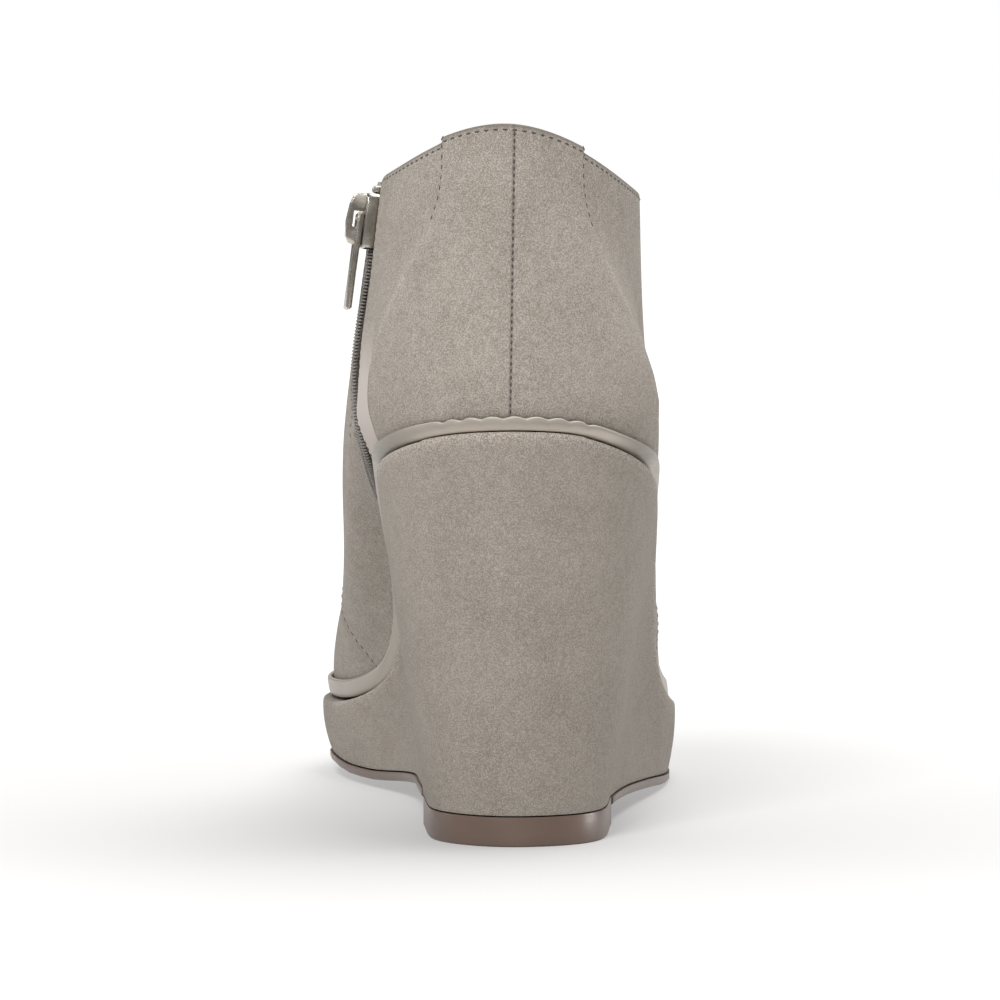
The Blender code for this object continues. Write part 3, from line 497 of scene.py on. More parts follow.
def moulded_rubber(name, tread=False):
    """Moulded thermoplastic rubber: dense satin brown, with a fine spark-eroded grain."""
    tones = colours()
    made, tree, surface, place = new_material(name, tones.rubber, 0.34, Specular_IOR_Level=0.5)
    fine = add_node(
        tree,
        "ShaderNodeTexNoise",
        {"Vector": place, "Scale": specks_of(0.35 * MM), "Detail": 3, "Roughness": 0.6},
    )
    cloud = add_node(tree, "ShaderNodeTexNoise", {"Vector": place, "Scale": specks_of(9 * MM)})
    tone = add_node(tree, "ShaderNodeMapRange", {"Value": cloud, "From Min": 0.3, "From Max": 0.7})
    base = add_node(
        tree,
        "ShaderNodeMix",
        {0: tone, 6: shaded(tones.rubber, 0.9), 7: shaded(tones.rubber, 1.05)},
        data_type="RGBA",
    )
    gloss = add_node(
        tree,
        "ShaderNodeMapRange",
        {"Value": fine, "From Min": 0.3, "From Max": 0.7, "To Min": 0.28, "To Max": 0.44},
    )
    relief = add_node(
        tree, "ShaderNodeBump", {"Height": fine, "Distance": 0.03 * MM, "Strength": 0.5}
    )
    if tread:
        ribs = add_node(
            tree,
            "ShaderNodeTexWave",
            {"Vector": place, "Scale": WAVE_BAND / sizes().tread_pitch, "Distortion": 0.0},
            bands_direction="Y",
        )
        under = add_node(tree, "ShaderNodeNewGeometry").outputs["Normal"]
        down = add_node(tree, "ShaderNodeSeparateXYZ", {0: under}).outputs["Z"]
        below = add_node(
            tree,
            "ShaderNodeMapRange",
            {"Value": down, "From Min": -0.8, "From Max": -0.95},
        )
        ribs = add_node(tree, "ShaderNodeMath", {0: ribs, 1: below}, operation="MULTIPLY")
        relief = add_node(
            tree,
            "ShaderNodeBump",
            {"Height": ribs, "Distance": 0.5 * MM, "Strength": 0.8, "Normal": relief},
        )
    wire(tree, surface, Base_Color=base, Roughness=gloss, Normal=relief)
    return made


def sock_lining(name):
    """Brushed textile lining: matt and beige, with a fine knit showing close by."""
    tones = colours()
    made, tree, surface, place = new_material(name, tones.lining, 0.9, Sheen_Weight=0.15)
    knit = add_node(tree, "ShaderNodeTexVoronoi", {"Vector": place, "Scale": 1 / (0.8 * MM)})
    mottle = add_node(
        tree, "ShaderNodeTexNoise", {"Vector": place, "Scale": specks_of(8 * MM), "Detail": 3}
    )
    tone = add_node(tree, "ShaderNodeMapRange", {"Value": mottle, "From Min": 0.3, "From Max": 0.7})
    base = add_node(
        tree,
        "ShaderNodeMix",
        {0: tone, 6: shaded(tones.lining, 0.8), 7: rgba(tones.lining)},
        data_type="RGBA",
    )
    relief = add_node(
        tree, "ShaderNodeBump", {"Height": knit, "Distance": 0.12 * MM, "Strength": 0.7}
    )
    wire(tree, surface, Base_Color=base, Normal=relief)
    return made


def woven_tape(name):
    """Woven polyester zip tape: dark and matt, its ribs running across the weave."""
    tones = colours()
    made, tree, surface, place = new_material(name, tones.zip_cloth, 0.85, Sheen_Weight=0.1)
    turned = add_node(
        tree, "ShaderNodeMapping", {"Vector": place, "Rotation": (math.radians(45), 0, 0)}
    )
    weave = add_node(
        tree, "ShaderNodeTexChecker", {"Vector": turned, "Scale": 1 / sizes().weave_pitch}
    ).outputs["Fac"]
    base = add_node(
        tree,
        "ShaderNodeMix",
        {0: weave, 6: shaded(tones.zip_cloth, 0.6), 7: rgba(tones.zip_cloth)},
        data_type="RGBA",
    )
    relief = add_node(
        tree, "ShaderNodeBump", {"Height": weave, "Distance": 0.1 * MM, "Strength": 0.8}
    )
    wire(tree, surface, Base_Color=base, Normal=relief)
    return made


def drawn_fibre(name, shade, thickness, roughness):
    """Drawn polyester or nylon: each strand catches a soft gloss and darkens in its hollows."""
    made, tree, surface, place = new_material(name, shade, roughness, Sheen_Weight=0.1)
    twist = add_node(
        tree,
        "ShaderNodeTexNoise",
        {"Vector": place, "Scale": specks_of(0.4 * thickness), "Detail": 1},
    )
    tone = add_node(
        tree, "ShaderNodeMapRange", {"Value": twist, "From Min": 0.35, "From Max": 0.65}
    )
    base = add_node(
        tree, "ShaderNodeMix", {0: tone, 6: shaded(shade, 0.6), 7: rgba(shade)}, data_type="RGBA"
    )
    relief = add_node(
        tree, "ShaderNodeBump", {"Height": twist, "Distance": 0.1 * thickness, "Strength": 0.6}
    )
    wire(tree, surface, Base_Color=base, Normal=relief)
    return made


def polished_pewter(name):
    """Plated zinc die casting in antique pewter: polished, with faint handling marks."""
    tones = colours()
    made, tree, surface, place = new_material(name, tones.pewter, 0.24, Metallic=1.0)
    cloud = add_node(
        tree,
        "ShaderNodeTexNoise",
        {"Vector": place, "Scale": specks_of(2.2 * MM), "Detail": 3, "Roughness": 0.6},
    )
    scuffs_and_highlight = add_node(tree, "ShaderNodeTexNoise", {"Vector": place, "Scale": specks_of(0.25 * MM)})
    tone = add_node(
        tree, "ShaderNodeMapRange", {"Value": cloud, "From Min": 0.35, "From Max": 0.65}
    )
    base = add_node(
        tree,
        "ShaderNodeMix",
        {0: tone, 6: shaded(tones.pewter, 0.92), 7: rgba(tones.pewter)},
        data_type="RGBA",
    )
    gloss = add_node(
        tree,
        "ShaderNodeMapRange",
        {"Value": cloud, "From Min": 0.3, "From Max": 0.7, "To Min": 0.2, "To Max": 0.28},
    )
    relief = add_node(
        tree, "ShaderNodeBump", {"Height": scuffs_and_highlight, "Distance": 0.015 * MM, "Strength": 0.4}
    )
    wire(tree, surface, Base_Color=base, Roughness=gloss, Normal=relief)
    return made


def pick(piece):
    """Makes a piece the only one selected, and the active one."""
    bpy.ops.object.select_all(action="DESELECT")
    piece.select_set(True)
    bpy.context.view_layer.objects.active = piece


def copied(node, name):
    """A new piece with a CAD node's shape, its loose triangles merged and paired into quads."""
    piece = bpy.data.objects.new(name, NODES[node].data.copy())
    bpy.context.scene.collection.objects.link(piece)
    piece.data.materials.clear()
    pick(piece)
    if piece.data.has_custom_normals:
        bpy.ops.mesh.customdata_custom_splitnormals_clear()
    bpy.ops.object.mode_set(mode="EDIT")
    bpy.ops.mesh.select_all(action="SELECT")
    bpy.ops.mesh.remove_doubles(threshold=0.02 * MM)
    bpy.ops.mesh.tris_convert_to_quads(
        face_threshold=math.radians(40), shape_threshold=math.radians(60)
    )
    bpy.ops.object.mode_set(mode="OBJECT")
    return piece


def apply_modifiers(piece):
    pick(piece)
    for modifier in list(piece.modifiers):
        bpy.ops.object.modifier_apply(modifier=modifier.name)


def soften(piece, width, sharper_than, segments=2):
    """Bevels the edges that are sharper than an angle."""
    change = piece.modifiers.new("soft edges", "BEVEL")
    change.width = width
    change.segments = segments
    change.limit_method = "ANGLE"
    change.angle_limit = math.radians(sharper_than)
    change.use_clamp_overlap = True
    apply_modifiers(piece)


def smooth(piece, levels):
    """Subdivides a piece into a smooth one."""
    change = piece.modifiers.new("smooth", "SUBSURF")
    change.levels = change.render_levels = levels
    apply_modifiers(piece)
    piece.data.shade_smooth()


def finish(piece, body, slot, look, *nodes):
    """Gives a piece its material and its place among the CAD's bodies, and hides the CAD nodes it
    stands in for. The slot is not used.
    """
    if not piece.data.materials:
        piece.data.materials.append(look)
    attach(piece, body)
    if nodes:
        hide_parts(*nodes)


def vertices(piece):
    places = np.empty(len(piece.data.vertices) * 3)
    piece.data.vertices.foreach_get("co", places)
    return places.reshape(-1, 3)


def outward(piece):
    found = np.empty(len(piece.data.vertices) * 3)
    piece.data.vertices.foreach_get("normal", found)
    return found.reshape(-1, 3)


def push(piece, distances):
    """Moves each vertex along its normal."""
    moved = vertices(piece) + outward(piece) * distances[:, None]
    piece.data.vertices.foreach_set("co", moved.ravel())
    piece.data.update()


def chains(edges):
    """Edges joined end to end, each run as an array of places."""
    beside = {}
    for edge in edges:
        for vertex in edge.verts:
            beside.setdefault(vertex, []).append(edge)
    left, runs = set(edges), []
    starts = [v for v, found in beside.items() if len(found) == 1] + list(beside)
    for start in starts:
        vertex, run = start, [start]
        while True:
            ahead = [edge for edge in beside[vertex] if edge in left]
            if not ahead:
                break
            left.discard(ahead[0])
            vertex = ahead[0].other_vert(vertex)
            run.append(vertex)
        if len(run) > 1:
            runs.append(np.array([v.co for v in run]))
    return runs


def run_length(run):
    """How far along a run each of its places is."""
    steps = np.linalg.norm(np.diff(run, axis=0), axis=1)
    return np.concatenate([[0], np.cumsum(steps)])


def spread_along(run, pitch):
    """Evenly spaced places along a run, and the direction of the run at each."""
    covered = run_length(run)
    count = max(2, round(covered[-1] / pitch))
    at = (np.arange(count) + 0.5) * covered[-1] / count
    even = np.stack([np.interp(at, covered, run[:, i]) for i in range(3)], axis=1)
    return even, np.gradient(even, axis=0)


def tree_of(points):
    """A search tree that finds the nearest of some places, and its number."""
    tree = KDTree(len(points))
    for number, point in enumerate(points):
        tree.insert(point, number)
    tree.balance()
    return tree


def bell(away, width):
    """1 at no distance, falling softly to almost nothing at twice a width."""
    return np.exp(-((away / width) ** 2))


def nearest_on(run, places):
    """For each place, its distance from a run and how far along the run that is."""
    covered = run_length(run)
    at = np.linspace(0, covered[-1], max(2, int(covered[-1] / (0.25 * MM))))
    dense = np.stack([np.interp(at, covered, run[:, i]) for i in range(3)], axis=1)
    tree = tree_of(dense)
    found = [tree.find(place) for place in places]
    numbers = [number for _, number, _ in found]
    return np.array([distance for _, _, distance in found]), at[numbers]


def surface_of(piece):
    return BVHTree.FromPolygons(
        [v.co for v in piece.data.vertices], [p.vertices[:] for p in piece.data.polygons]
    )


def frame_at(place, along, normal):
    """A matrix with X along a line and Z along a normal."""
    across = normal.cross(along).normalized()
    along = across.cross(normal).normalized()
    made = Matrix((along, across, normal)).transposed().to_4x4()
    made.translation = place
    return made


def joined_copies(name, model, places):
    """One mesh with a copy of a small model at each place; the model is then removed."""
    bm = bmesh.new()
    for place in places:
        one = model.data.copy()
        one.transform(place)
        bm.from_mesh(one)
        bpy.data.meshes.remove(one)
    mesh = bpy.data.meshes.new(name)
    bm.to_mesh(mesh)
    bm.free()
    mesh.shade_smooth()
    bpy.data.objects.remove(model)
    piece = bpy.data.objects.new(name, mesh)
    bpy.context.scene.collection.objects.link(piece)
    return piece


def model_bead(long, wide, thick):
    """A small rounded bead, longest along X, to be copied many times."""
    bpy.ops.object.select_all(action="DESELECT")
    bpy.ops.mesh.primitive_uv_sphere_add(segments=8, ring_count=6, radius=0.5)
    bead = bpy.context.active_object
    bpy.ops.object.mode_set(mode="EDIT")
    bpy.ops.mesh.select_all(action="SELECT")
    bpy.ops.transform.rotate(
        value=math.pi / 2, orient_axis="Y", center_override=(0, 0, 0), orient_type="GLOBAL"
    )
    bpy.ops.transform.resize(value=(long, wide, thick))
    bpy.ops.object.mode_set(mode="OBJECT")
    return bead


def stitch_row(surface, run, pitch, long, margin=0.0, towards=(0, 0, -1)):
    """Stitches on a surface along a run, moved by a margin towards a side."""
    places = []
    shift = Vector(towards).normalized() * margin
    for place, along in zip(*spread_along(run, pitch)):
        spot, normal, _, _ = surface.find_nearest(Vector(place) + shift)
        made = frame_at(spot, Vector(along), normal)
        places.append(made @ Matrix.Diagonal((long, 1, 1, 1)))
    return places


def add_value(piece, name, values):
    """Keeps a number for each vertex, for the piece's material to read."""
    kept = piece.data.attributes.new(name, "FLOAT", "POINT")
    kept.data.foreach_set("value", values.astype(np.float32))


def crease(piece, folds, movable):
    """Sinks soft troughs with a low ridge on either side into the vertices that may move."""
    places = vertices(piece)
    sunk = np.zeros(len(places))
    for fold in folds:
        start, middle, end = (np.array(p) * MM for p in (fold.start, fold.middle, fold.end))
        t = np.linspace(0, 1, 40)[:, None]
        curve = (1 - t) ** 2 * start + 2 * t * (1 - t) * middle + t**2 * end
        near = movable & (np.linalg.norm(places - curve[20], axis=1) < CREASE_REACH)
        away, along = nearest_on(curve, places[near])
        share = along / run_length(curve)[-1]
        across = (away / (fold.width * MM)) ** 2
        profile = (1 - 0.7 * across) * np.exp(-across)
        sunk[near] += fold.depth * MM * profile * np.sin(math.pi * share) ** 0.7
    push(piece, -sunk)


class BOOT_OT_wedge(bpy.types.Operator):
    """Cover the platform and the wedge with microsuede"""

    bl_idname = "boot.wedge"
    bl_label = "Covered wedge"

    def execute(self, context):
        piece = copied("wedge", "covered_wedge")
        soften(piece, 0.5 * MM, 50)
        smooth(piece, 2)
        paint_nap_highlight(piece)
        suede = microsuede("brushed microsuede cover", colours().cover)
        finish(piece, "boot", "microsuede", suede, "wedge")
        return {"FINISHED"}


def paint_nap_highlight(cover):
    """Marks the cover's upper edge, where the nap stands up pale and fuzzy, partly real nap and
    partly a painted highlight on the faces turned up.
    """
    places, up = vertices(cover), outward(cover)[:, 2]
    tree = tree_of(places[(up > 0.35) & (up < 0.9) & (places[:, 2] > NAP_HIGHLIGHT_ABOVE)])
    away = np.array([tree.find(place)[2] for place in places])
    add_value(cover, "painted_highlight", np.exp(-away / NAP_HIGHLIGHT_WIDTH))


class BOOT_OT_sole(bpy.types.Operator):
    """Mould the outsole and the heel's top-lift"""

    bl_idname = "boot.sole"
    bl_label = "Outsole and top-lift"

    def execute(self, context):
        for node, name in (("outsole", "moulded_outsole"), ("heel_top_lift", "moulded_top_lift")):
            piece = copied(node, name)
            soften(piece, 0.3 * MM, 40)
            pick(piece)
            bpy.ops.object.shade_smooth_by_angle(angle=math.radians(35))
            rubber = moulded_rubber(f"{name} rubber", tread=node == "outsole")
            finish(piece, "boot", "sole_rubber", rubber, node)
        return {"FINISHED"}


class BOOT_OT_upper(bpy.types.Operator):
    """Sew the suede upper with its lining"""

    bl_idname = "boot.upper"
    bl_label = "Suede upper"

    def execute(self, context):
        piece = copied("upper", "suede_upper")
        suede = microsuede("brushed microsuede upper", colours().suede, upper=True)
        piece.data.materials.append(suede)
        piece.data.materials.append(sock_lining("brushed textile lining"))
        line_inside(piece)
        even_out_slot(piece)
        runs = upper_runs(piece)
        soften(piece, 0.4 * MM, 70)
        smooth(piece, 2)
        outside = np.zeros(len(piece.data.vertices), bool)
        for face in piece.data.polygons:
            if face.material_index == 0:
                outside[list(face.vertices)] = True
        crease(piece, UPPER_CREASES, outside)
        mark_facing(piece, runs)
        finish(piece, "boot", "microsuede", None, "upper")
        sew(piece, runs)
        return {"FINISHED"}


def line_inside(piece):
    """Gives the lining's material to every face inside the boot, out to the folded edges.

    It starts from the face nearest to a place over the sock's heel and spreads from there."""
    low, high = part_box("insole")
    inside = Vector(((low[0] + high[0]) / 2, low[1] + 40 * MM, high[2] + 20 * MM))
    bm = bmesh.new()
    bm.from_mesh(piece.data)
    start = min(bm.faces, key=lambda face: (face.calc_center_median() - inside).length)
    reached, waiting = {start}, [start]
    while waiting:
        face = waiting.pop()
        for edge in face.edges:
            if edge.calc_face_angle(math.pi) > math.radians(LINING_TURN):
                continue
            for beside in edge.link_faces:
                if beside not in reached:
                    reached.add(beside)
                    waiting.append(beside)
    for face in reached:
        face.material_index = 1
    bm.to_mesh(piece.data)
    bm.free()


def upper_runs(upper):
    """The upper's sewn edges by name, each as runs of places long enough to be sewn."""
    bm = bmesh.new()
    bm.from_mesh(upper.data)
    found = {sewn.name: [] for sewn in SEWN_EDGES}
    for edge in bm.edges:
        if any(face.material_index for face in edge.link_faces):
            continue
        turn = math.degrees(edge.calc_face_angle_signed(0))
        start, end = (vertex.co / MM for vertex in edge.verts)
        middle, climb = (start + end) / 2, abs((end - start).normalized().z)
        for sewn in SEWN_EDGES:
            inside = all(low < c < high for low, c, high in zip(sewn.low, middle, sewn.high))
            if sewn.name == "vamp" and off_the_vamp_seam(middle) > VAMP_SEAM_REACH:
                continue
            if inside and turn > sewn.turn and sewn.climbs[0] <= climb <= sewn.climbs[1]:
                found[sewn.name].append(edge)
                break
    runs = {name: [run for run in chains(edges) if len(run) > 4] for name, edges in found.items()}
    bm.free()
    return runs


def edge_at(edge, heights, column):
    """How far forward one of the slot's edges lies at some heights, in millimetres."""
    return np.interp(heights, [row.height for row in edge], [getattr(row, column) for row in edge])


def powers(y, z):
    """The terms of a cubic in y and z, measured from the zip's middle."""
    y, z = (y - ZIP_MIDDLE[0]) / ZIP_SPREAD[0], (z - ZIP_MIDDLE[1]) / ZIP_SPREAD[1]
    return np.stack([y**i * z**j for i in range(4) for j in range(4 - i)], axis=-1)


def fit_side():
    """The upper's skin beside the zip: a cubic that gives x at a place, in millimetres."""
    x, y, z = vertices(NODES["upper"]).T / MM
    (rear, front), (low, high) = ZIP_PATCH
    near = (x < ZIP_SIDE) & (y > rear) & (y < front) & (z > low) & (z < high)
    return np.linalg.lstsq(powers(y[near], z[near]), x[near], rcond=None)[0]


def even_out_slot(piece):
    """Moves what lies at the zip's slot along the skin, so that the slot's edges run evenly."""
    places = vertices(piece) / MM
    x, y, z = places.T
    rear, front = edge_at(SLOT_REAR, z, "built"), edge_at(SLOT_FRONT, z, "built")
    share = np.clip((y - rear) / (front - rear), 0, 1)
    shift = (1 - share) * (edge_at(SLOT_REAR, z, "sewn") - rear)
    shift += share * (edge_at(SLOT_FRONT, z, "sewn") - front)
    outside = np.maximum(np.maximum(rear - y, y - front), 0)
    shift *= bell(outside, EVENED_REACH) * (x < ZIP_SIDE)
    side = fit_side()
    places[:, 0] += powers(y + shift, z) @ side - powers(y, z) @ side
    places[:, 1] += shift
    piece.data.vertices.foreach_set("co", (places * MM).ravel())
    piece.data.update()


def off_the_vamp_seam(point):
    """How far a point lies before or behind the vamp seam's slanting line, in millimetres."""
    along = (VAMP_SEAM_RIDGE - VAMP_SEAM_FOOT).normalized()
    return abs((point - VAMP_SEAM_FOOT).cross(along).x)


def mark_facing(piece, runs):
    """Marks the strip behind the zip, a painted highlight along the back panel's edges and the
    collar's rim.
    """
    places = vertices(piece)
    facing, painted_highlight = np.zeros(len(places)), np.zeros(len(places))
    rear = min(runs["slot"], key=lambda run: run[:, 1].mean())
    rear = rear[np.argsort(rear[:, 2])]
    near = np.flatnonzero((places[:, 0] < -20 * MM) & (places[:, 1] < 45 * MM))
    away, _ = nearest_on(rear, places[near])
    behind = places[near, 1] < np.interp(places[near, 2], rear[:, 2], rear[:, 1]) + 1 * MM
    inner = (FACING_WIDTH + FACING_EDGE - away) / (2 * FACING_EDGE)
    facing[near] = np.clip(inner, 0, 1) * behind
    # A painted highlight along the back panel's lower edges, where the fold would catch the light.
    for run in runs["panel"]:
        away, _ = nearest_on(run, places)
        fade = np.clip((HIGHLIGHT_BELOW - places[:, 2]) / HIGHLIGHT_FADE, 0, 1)
        painted_highlight = np.maximum(painted_highlight, 0.5 * bell(away, HIGHLIGHT_WIDTH) * fade)
    rim = np.zeros(len(places))
    for run in runs["collar"]:
        away, _ = nearest_on(run, places)
        rim = np.maximum(rim, bell(away, RIM_WIDTH))
    add_value(piece, "facing", facing)
    add_value(piece, "painted_highlight", painted_highlight)
    add_value(piece, "rim", rim)


def sew(upper, runs):
    """Stitches the collar, the centre back, the back panel, the vamp and beside the zip."""
    size = sizes()
    surface = surface_of(upper)
    places = []
    dash, dot = 0.56 * size.edge_pitch, 0.62 * size.seam_pitch
    for run in runs["collar"]:
        places += stitch_row(surface, run, size.edge_pitch, dash, size.collar_margin)
    for run in runs["panel"]:
        high = run[run[:, 2] > PANEL_SEWN_ABOVE]
        if len(high) > 2:
            places += stitch_row(surface, high, 1.1 * size.edge_pitch, dash)
    for run in runs["vamp"]:
        places += stitch_row(surface, run, size.edge_pitch, dash, size.edge_margin, (0, -1, 0.3))
    middle = np.mean([run[:, 1].mean() for run in runs["slot"]])
    for run in runs["slot"]:
        away = (0, 1 if run[:, 1].mean() > middle else -1, 0)
        places += stitch_row(surface, run, size.edge_pitch, dash, 2 * size.edge_margin, away)
    landed = []
    for share in np.linspace(0, 1, 60):
        spot = BACK_SEAM_TOP.lerp(BACK_SEAM_FOOT, share)
        hit = surface.ray_cast(Vector((spot.x, -0.1, spot.z)), Vector((0, 1, 0)))
        if hit[0]:
            landed.append(hit[0])
    places += stitch_row(surface, np.array(landed), size.seam_pitch, dot)
    bead = model_bead(1, size.thread_width, 0.7 * size.thread_width)
    stitches = joined_copies("thread_stitches", bead, places)
    thread = drawn_fibre("bonded polyester thread", colours().thread, size.thread_width, 0.6)
    finish(stitches, "boot", "microsuede", thread)


class BOOT_OT_rand(bpy.types.Operator):
    """Gather the satin rand round the boot"""

    bl_idname = "boot.rand"
    bl_label = "Gathered rand"

    def execute(self, context):
        piece = copied("rand", "gathered_rand")
        notches = find_notches(piece)
        # Under this name the values keep the cusps sharp when the piece is subdivided.
        add_value(piece, "crease_vert", notches)
        cusps = vertices(piece)[notches > 0]
        smooth(piece, 2)
        gather(piece, cusps)
        mark_folds(piece)
        finish(piece, "boot", "rand_strip", satin_strip("satin coated strip"), "rand")
        return {"FINISHED"}


def find_notches(rand):
    """1 for each vertex at the foot of a cusp between two scallops, 0 for the others."""
    places = vertices(rand)
    found = np.zeros(len(places))
    edge = np.flatnonzero((outward(rand)[:, 2] > 0.2) & (places[:, 1] < SCALLOPS_BEHIND))
    across = places[edge, None] - places[None, edge]
    apart = np.linalg.norm(across[..., :2], axis=2)
    beside = (apart > CUSP_NEAR) & (apart < CUSP_REACH) & (np.abs(across[..., 2]) < CUSP_HEIGHT)
    count = beside.sum(axis=1)
    sunk = (across[..., 2] * beside).sum(axis=1) / np.maximum(count, 1)
    found[edge[(sunk < -CUSP_DEPTH) & (count > 2)]] = 1
    return found


def gather(rand, cusps):
    """Sinks a short, shallow pleat into the rand's outer face under each cusp."""
    places, out = vertices(rand), outward(rand)
    face = np.clip(np.linalg.norm(out[:, :2], axis=1) * 2 - 1, 0, 1)
    ankle = (0, 20 * MM)
    face *= ((places[:, :2] - ankle) * out[:, :2]).sum(axis=1) > 0
    sunk = np.zeros(len(places))
    for cusp in cusps:
        aside = np.linalg.norm(places[:, :2] - cusp[:2], axis=1)
        below = cusp[2] - places[:, 2]
        fade = np.clip(1 - below / PLEAT_LENGTH, 0, 1) * (below > -0.5 * MM)
        pleat = bell(aside, 0.4 * MM) + 0.4 * bell(aside, 1.3 * MM)
        sunk = np.maximum(sunk, fade * pleat)
    push(rand, -sizes().gather_depth * face * sunk)


def mark_folds(rand):
    """Marks a painted highlight on the rand's upper and lower folds, and painted shade on its turns
    beside the heel.
    """
    places, out = vertices(rand), outward(rand)
    add_value(rand, "scuffs_and_highlight", np.clip((np.abs(out[:, 2]) - 0.5) / 0.3, 0, 1))
    aside = np.clip((np.abs(places[:, 0]) - CORNER_FROM) / CORNER_WIDTH, 0, 1)
    behind = np.clip((CORNER_LENGTH - places[:, 1]) / CORNER_LENGTH, 0, 1)
    add_value(rand, "shade", aside * behind)


class BOOT_OT_sock(bpy.types.Operator):
    """Lay the padded sock on the wedge"""

    bl_idname = "boot.sock"
    bl_label = "Sock"

    def execute(self, context):
        piece = copied("insole", "padded_sock")
        smooth(piece, 1)
        finish(piece, "boot", "lining", sock_lining("brushed sock"), "insole")
        return {"FINISHED"}


class BOOT_OT_zip(bpy.types.Operator):
    """Make the zip's tape and coil"""

    bl_idname = "boot.zip"
    bl_label = "Zip tape and coil"

    def execute(self, context):
        tape = copied("zip_tape", "woven_zip_tape")
        even_out_slot(tape)
        smooth(tape, 1)
        finish(tape, "boot", "zip_weave", woven_tape("woven polyester tape"), "zip_tape")
        coil = make_coil()
        nylon = drawn_fibre("nylon coil", colours().coil, sizes().coil_pitch, 0.35)
        finish(coil, "boot", "zip_weave", nylon, "zip_chain")
        return {"FINISHED"}


def make_coil():
    """Two rows of coil turns, hooked into each other down the middle of the chain."""
    side = fit_side()
    chain = vertices(NODES["zip_chain"]) / MM
    depth = np.median(chain[:, 0] - powers(chain[:, 1], chain[:, 2]) @ side)
    heights = np.linspace(chain[:, 2].min() - COIL_BELOW_CHAIN, chain[:, 2].max(), 60)
    rear, front = (edge_at(edge, heights, "sewn") for edge in (SLOT_REAR, SLOT_FRONT))
    middle = np.convolve(np.pad((rear + front) / 2, 4, "edge"), np.full(9, 1 / 9), "valid")
    run = np.stack([powers(middle, heights) @ side + depth, middle, heights], axis=1) * MM
    pitch = sizes().coil_pitch
    places = []
    for number, (place, along) in enumerate(zip(*spread_along(run, pitch / 2))):
        y, z = place[1:] / MM
        slope = (
            (powers(y + 0.5, z) - powers(y - 0.5, z)) @ side,
            (powers(y, z + 0.5) - powers(y, z - 0.5)) @ side,
        )
        out = Vector((-1, *slope)).normalized()
        along = Vector(along).normalized()
        across = out.cross(along) * (1 if number % 2 else -1)
        spot = Vector(place) + across * TURN_ASIDE + out * TURN_RAISED
        places.append(frame_at(spot, along, out))
    bead = model_bead(TURN_SHARE * pitch, TURN_WIDTH, TURN_THICKNESS)
    return joined_copies("nylon_coil", bead, places)


class BOOT_OT_hardware(bpy.types.Operator):
    """Polish the zip's slider, stops and pull tab"""

    bl_idname = "boot.hardware"
    bl_label = "Zip hardware"

    def execute(self, context):
        metal = polished_pewter("polished pewter plate")
        pieces = (
            ("zip_slider", "pewter_slider", "boot", 0.28),
            ("zip_stop_front", "pewter_stop_front", "boot", 0.2),
            ("zip_stop_rear", "pewter_stop_rear", "boot", 0.2),
            ("zip_pull", "pewter_pull", "zip_pull", 0.12),
        )
        for node, name, body, width in pieces:
            piece = copied(node, name)
            soften(piece, width * MM, 38, 3)
            pick(piece)
            bpy.ops.object.shade_smooth_by_angle(angle=math.radians(40))
            finish(piece, body, "pewter", metal, node)
        finish(make_lock(), "boot", "pewter", metal)
        return {"FINISHED"}


def make_lock():
    """The slider's lock, a small block at the top of the bridge's window, above the pull's bar."""
    bpy.ops.object.select_all(action="DESELECT")
    bpy.ops.mesh.primitive_cube_add(size=1)
    lock = bpy.context.active_object
    lock.name = "pewter_lock"
    down, out = ZIP_DOWN.normalized(), ZIP_OUT.normalized()
    seat = Matrix((down.cross(out), down, out)).transposed().to_4x4()
    seat.translation = BRIDGE_WINDOW_TOP
    lock.data.transform(seat @ Matrix.Diagonal((*LOCK_SIZE, 1)))
    soften(lock, 0.1 * MM, 40)
    return lock


class BOOT_OT_stage(bpy.types.Operator):
    """Set the pale floor, the soft lights and the camera"""

    bl_idname = "boot.stage"
    bl_label = "Studio"

    def execute(self, context):
        add_floor()
        add_lights()
        add_camera()
        return {"FINISHED"}


def add_floor():
    """A broad pale sweep, level under the boot, which glows as painted light: dim near the boot,
    painting a shadow round it, and plain white further away.
    """
    bpy.ops.object.select_all(action="DESELECT")
    bpy.ops.mesh.primitive_plane_add(size=12, location=(0, 0, 0))
    floor = bpy.context.active_object
    floor.name = "studio_floor"
    made, tree, surface, place = new_material(
        "matt white sweep", colours().floor, 0.6, Emission_Color=(1, 1, 1, 1)
    )
    # Painted light: the floor glows, least at the boot, so that a painted shadow lies round it.
    away = add_node(tree, "ShaderNodeVectorMath", {0: place}, operation="LENGTH").outputs["Value"]
    glow = add_node(tree, "ShaderNodeMapRange", {"Value": away, "From Max": 1.6, "To Max": 1.0})
    glow = add_node(tree, "ShaderNodeMath", {0: glow, 1: 0.35}, operation="POWER")
    wire(tree, surface, Emission_Strength=glow)
    floor.data.materials.append(made)


def add_light(name, place, target, size, power):
    data = bpy.data.lights.new(name, "AREA")
    data.shape = "RECTANGLE"
    data.size, data.size_y = size
    data.energy = power
    light = bpy.data.objects.new(name, data)
    light.location = place
    light.rotation_euler = (Vector(target) - Vector(place)).to_track_quat("-Z", "Y").to_euler()
    bpy.context.scene.collection.objects.link(light)


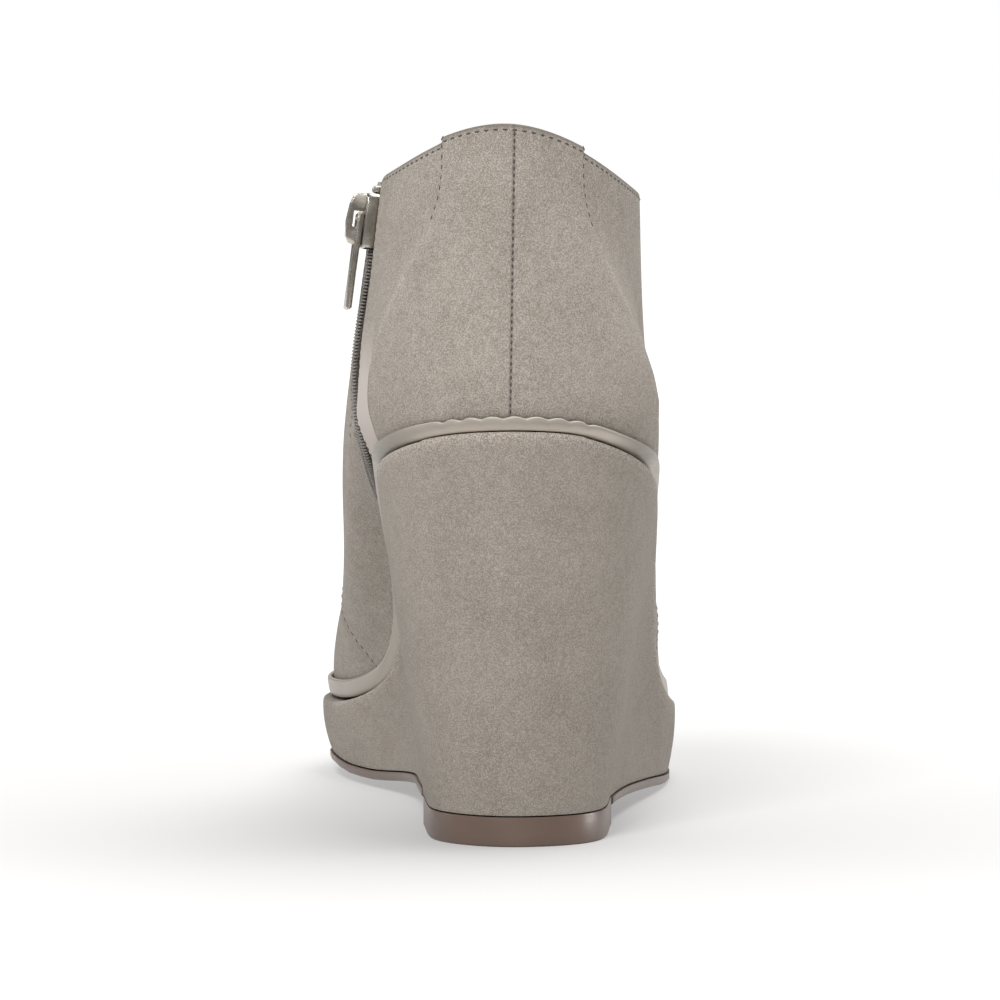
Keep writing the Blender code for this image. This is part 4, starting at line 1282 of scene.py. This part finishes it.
def add_lights():
    """A dim white room that the camera sees as plain white, and four soft boxes."""
    world = bpy.data.worlds.new("white room")
    world.use_nodes = True
    tree = world.node_tree
    seen = tree.nodes["Background"]
    seen.inputs["Color"].default_value = (1, 1, 1, 1)
    room = add_node(tree, "ShaderNodeBackground", {"Color": (1, 1, 1, 1), "Strength": 0.22})
    rays = add_node(tree, "ShaderNodeLightPath").outputs["Is Camera Ray"]
    both = add_node(tree, "ShaderNodeMixShader", {0: rays, 1: room, 2: seen})
    tree.links.new(both.outputs[0], tree.nodes["World Output"].inputs["Surface"])
    bpy.context.scene.world = world
    middle = (0, 0.02, 0.09)
    add_light("key box", (-0.45, -1.35, 1.3), middle, (0.6, 0.5), 30)
    add_light("top box", (0.3, 0.2, 1.4), middle, (0.9, 0.9), 16)
    add_light("left box", (-1.2, 0.4, 0.5), middle, (0.4, 0.6), 2.5)
    add_light("right box", (1.2, 0.4, 0.15), (0.03, 0.06, 0.03), (0.4, 0.3), 4)
    bpy.context.scene.view_settings.view_transform = "Standard"


def add_camera():
    data = bpy.data.cameras.new("rear camera")
    data.lens = CAMERA_LENS
    data.sensor_width = 36
    data.clip_end = 50
    camera = bpy.data.objects.new("rear camera", data)
    camera.location = CAMERA_PLACE
    camera.rotation_euler = (math.pi / 2 - CAMERA_TILT, 0, 0)
    bpy.context.scene.collection.objects.link(camera)
    bpy.context.scene.camera = camera


class BOOT_PT_panel(bpy.types.Panel):
    """Sizes, colours and steps of the boot"""

    bl_idname = "BOOT_PT_panel"
    bl_label = "Wedge ankle boot"
    bl_space_type = "VIEW_3D"
    bl_region_type = "UI"
    bl_category = "Boot"

    def draw(self, context):
        for group in (context.scene.boot_sizes, context.scene.boot_colours):
            box = self.layout.box()
            for name in group.bl_rna.properties.keys():
                if name not in ("rna_type", "name"):
                    box.prop(group, name)
        for step in STEPS:
            self.layout.operator(step.bl_idname)


STEPS = (
    BOOT_OT_stage,
    BOOT_OT_wedge,
    BOOT_OT_sole,
    BOOT_OT_upper,
    BOOT_OT_rand,
    BOOT_OT_sock,
    BOOT_OT_zip,
    BOOT_OT_hardware,
)
CLASSES = (BootSizes, BootColours, *STEPS, BOOT_PT_panel)


def register():
    for found in CLASSES:
        bpy.utils.register_class(found)
    bpy.types.Scene.boot_sizes = PointerProperty(type=BootSizes)
    bpy.types.Scene.boot_colours = PointerProperty(type=BootColours)


def unregister():
    del bpy.types.Scene.boot_sizes
    del bpy.types.Scene.boot_colours
    for found in reversed(CLASSES):
        bpy.utils.unregister_class(found)


def main():
    register()
    for step in STEPS:
        family, action = step.bl_idname.split(".")
        getattr(getattr(bpy.ops, family), action)()


if __name__ == "__main__":
    main()
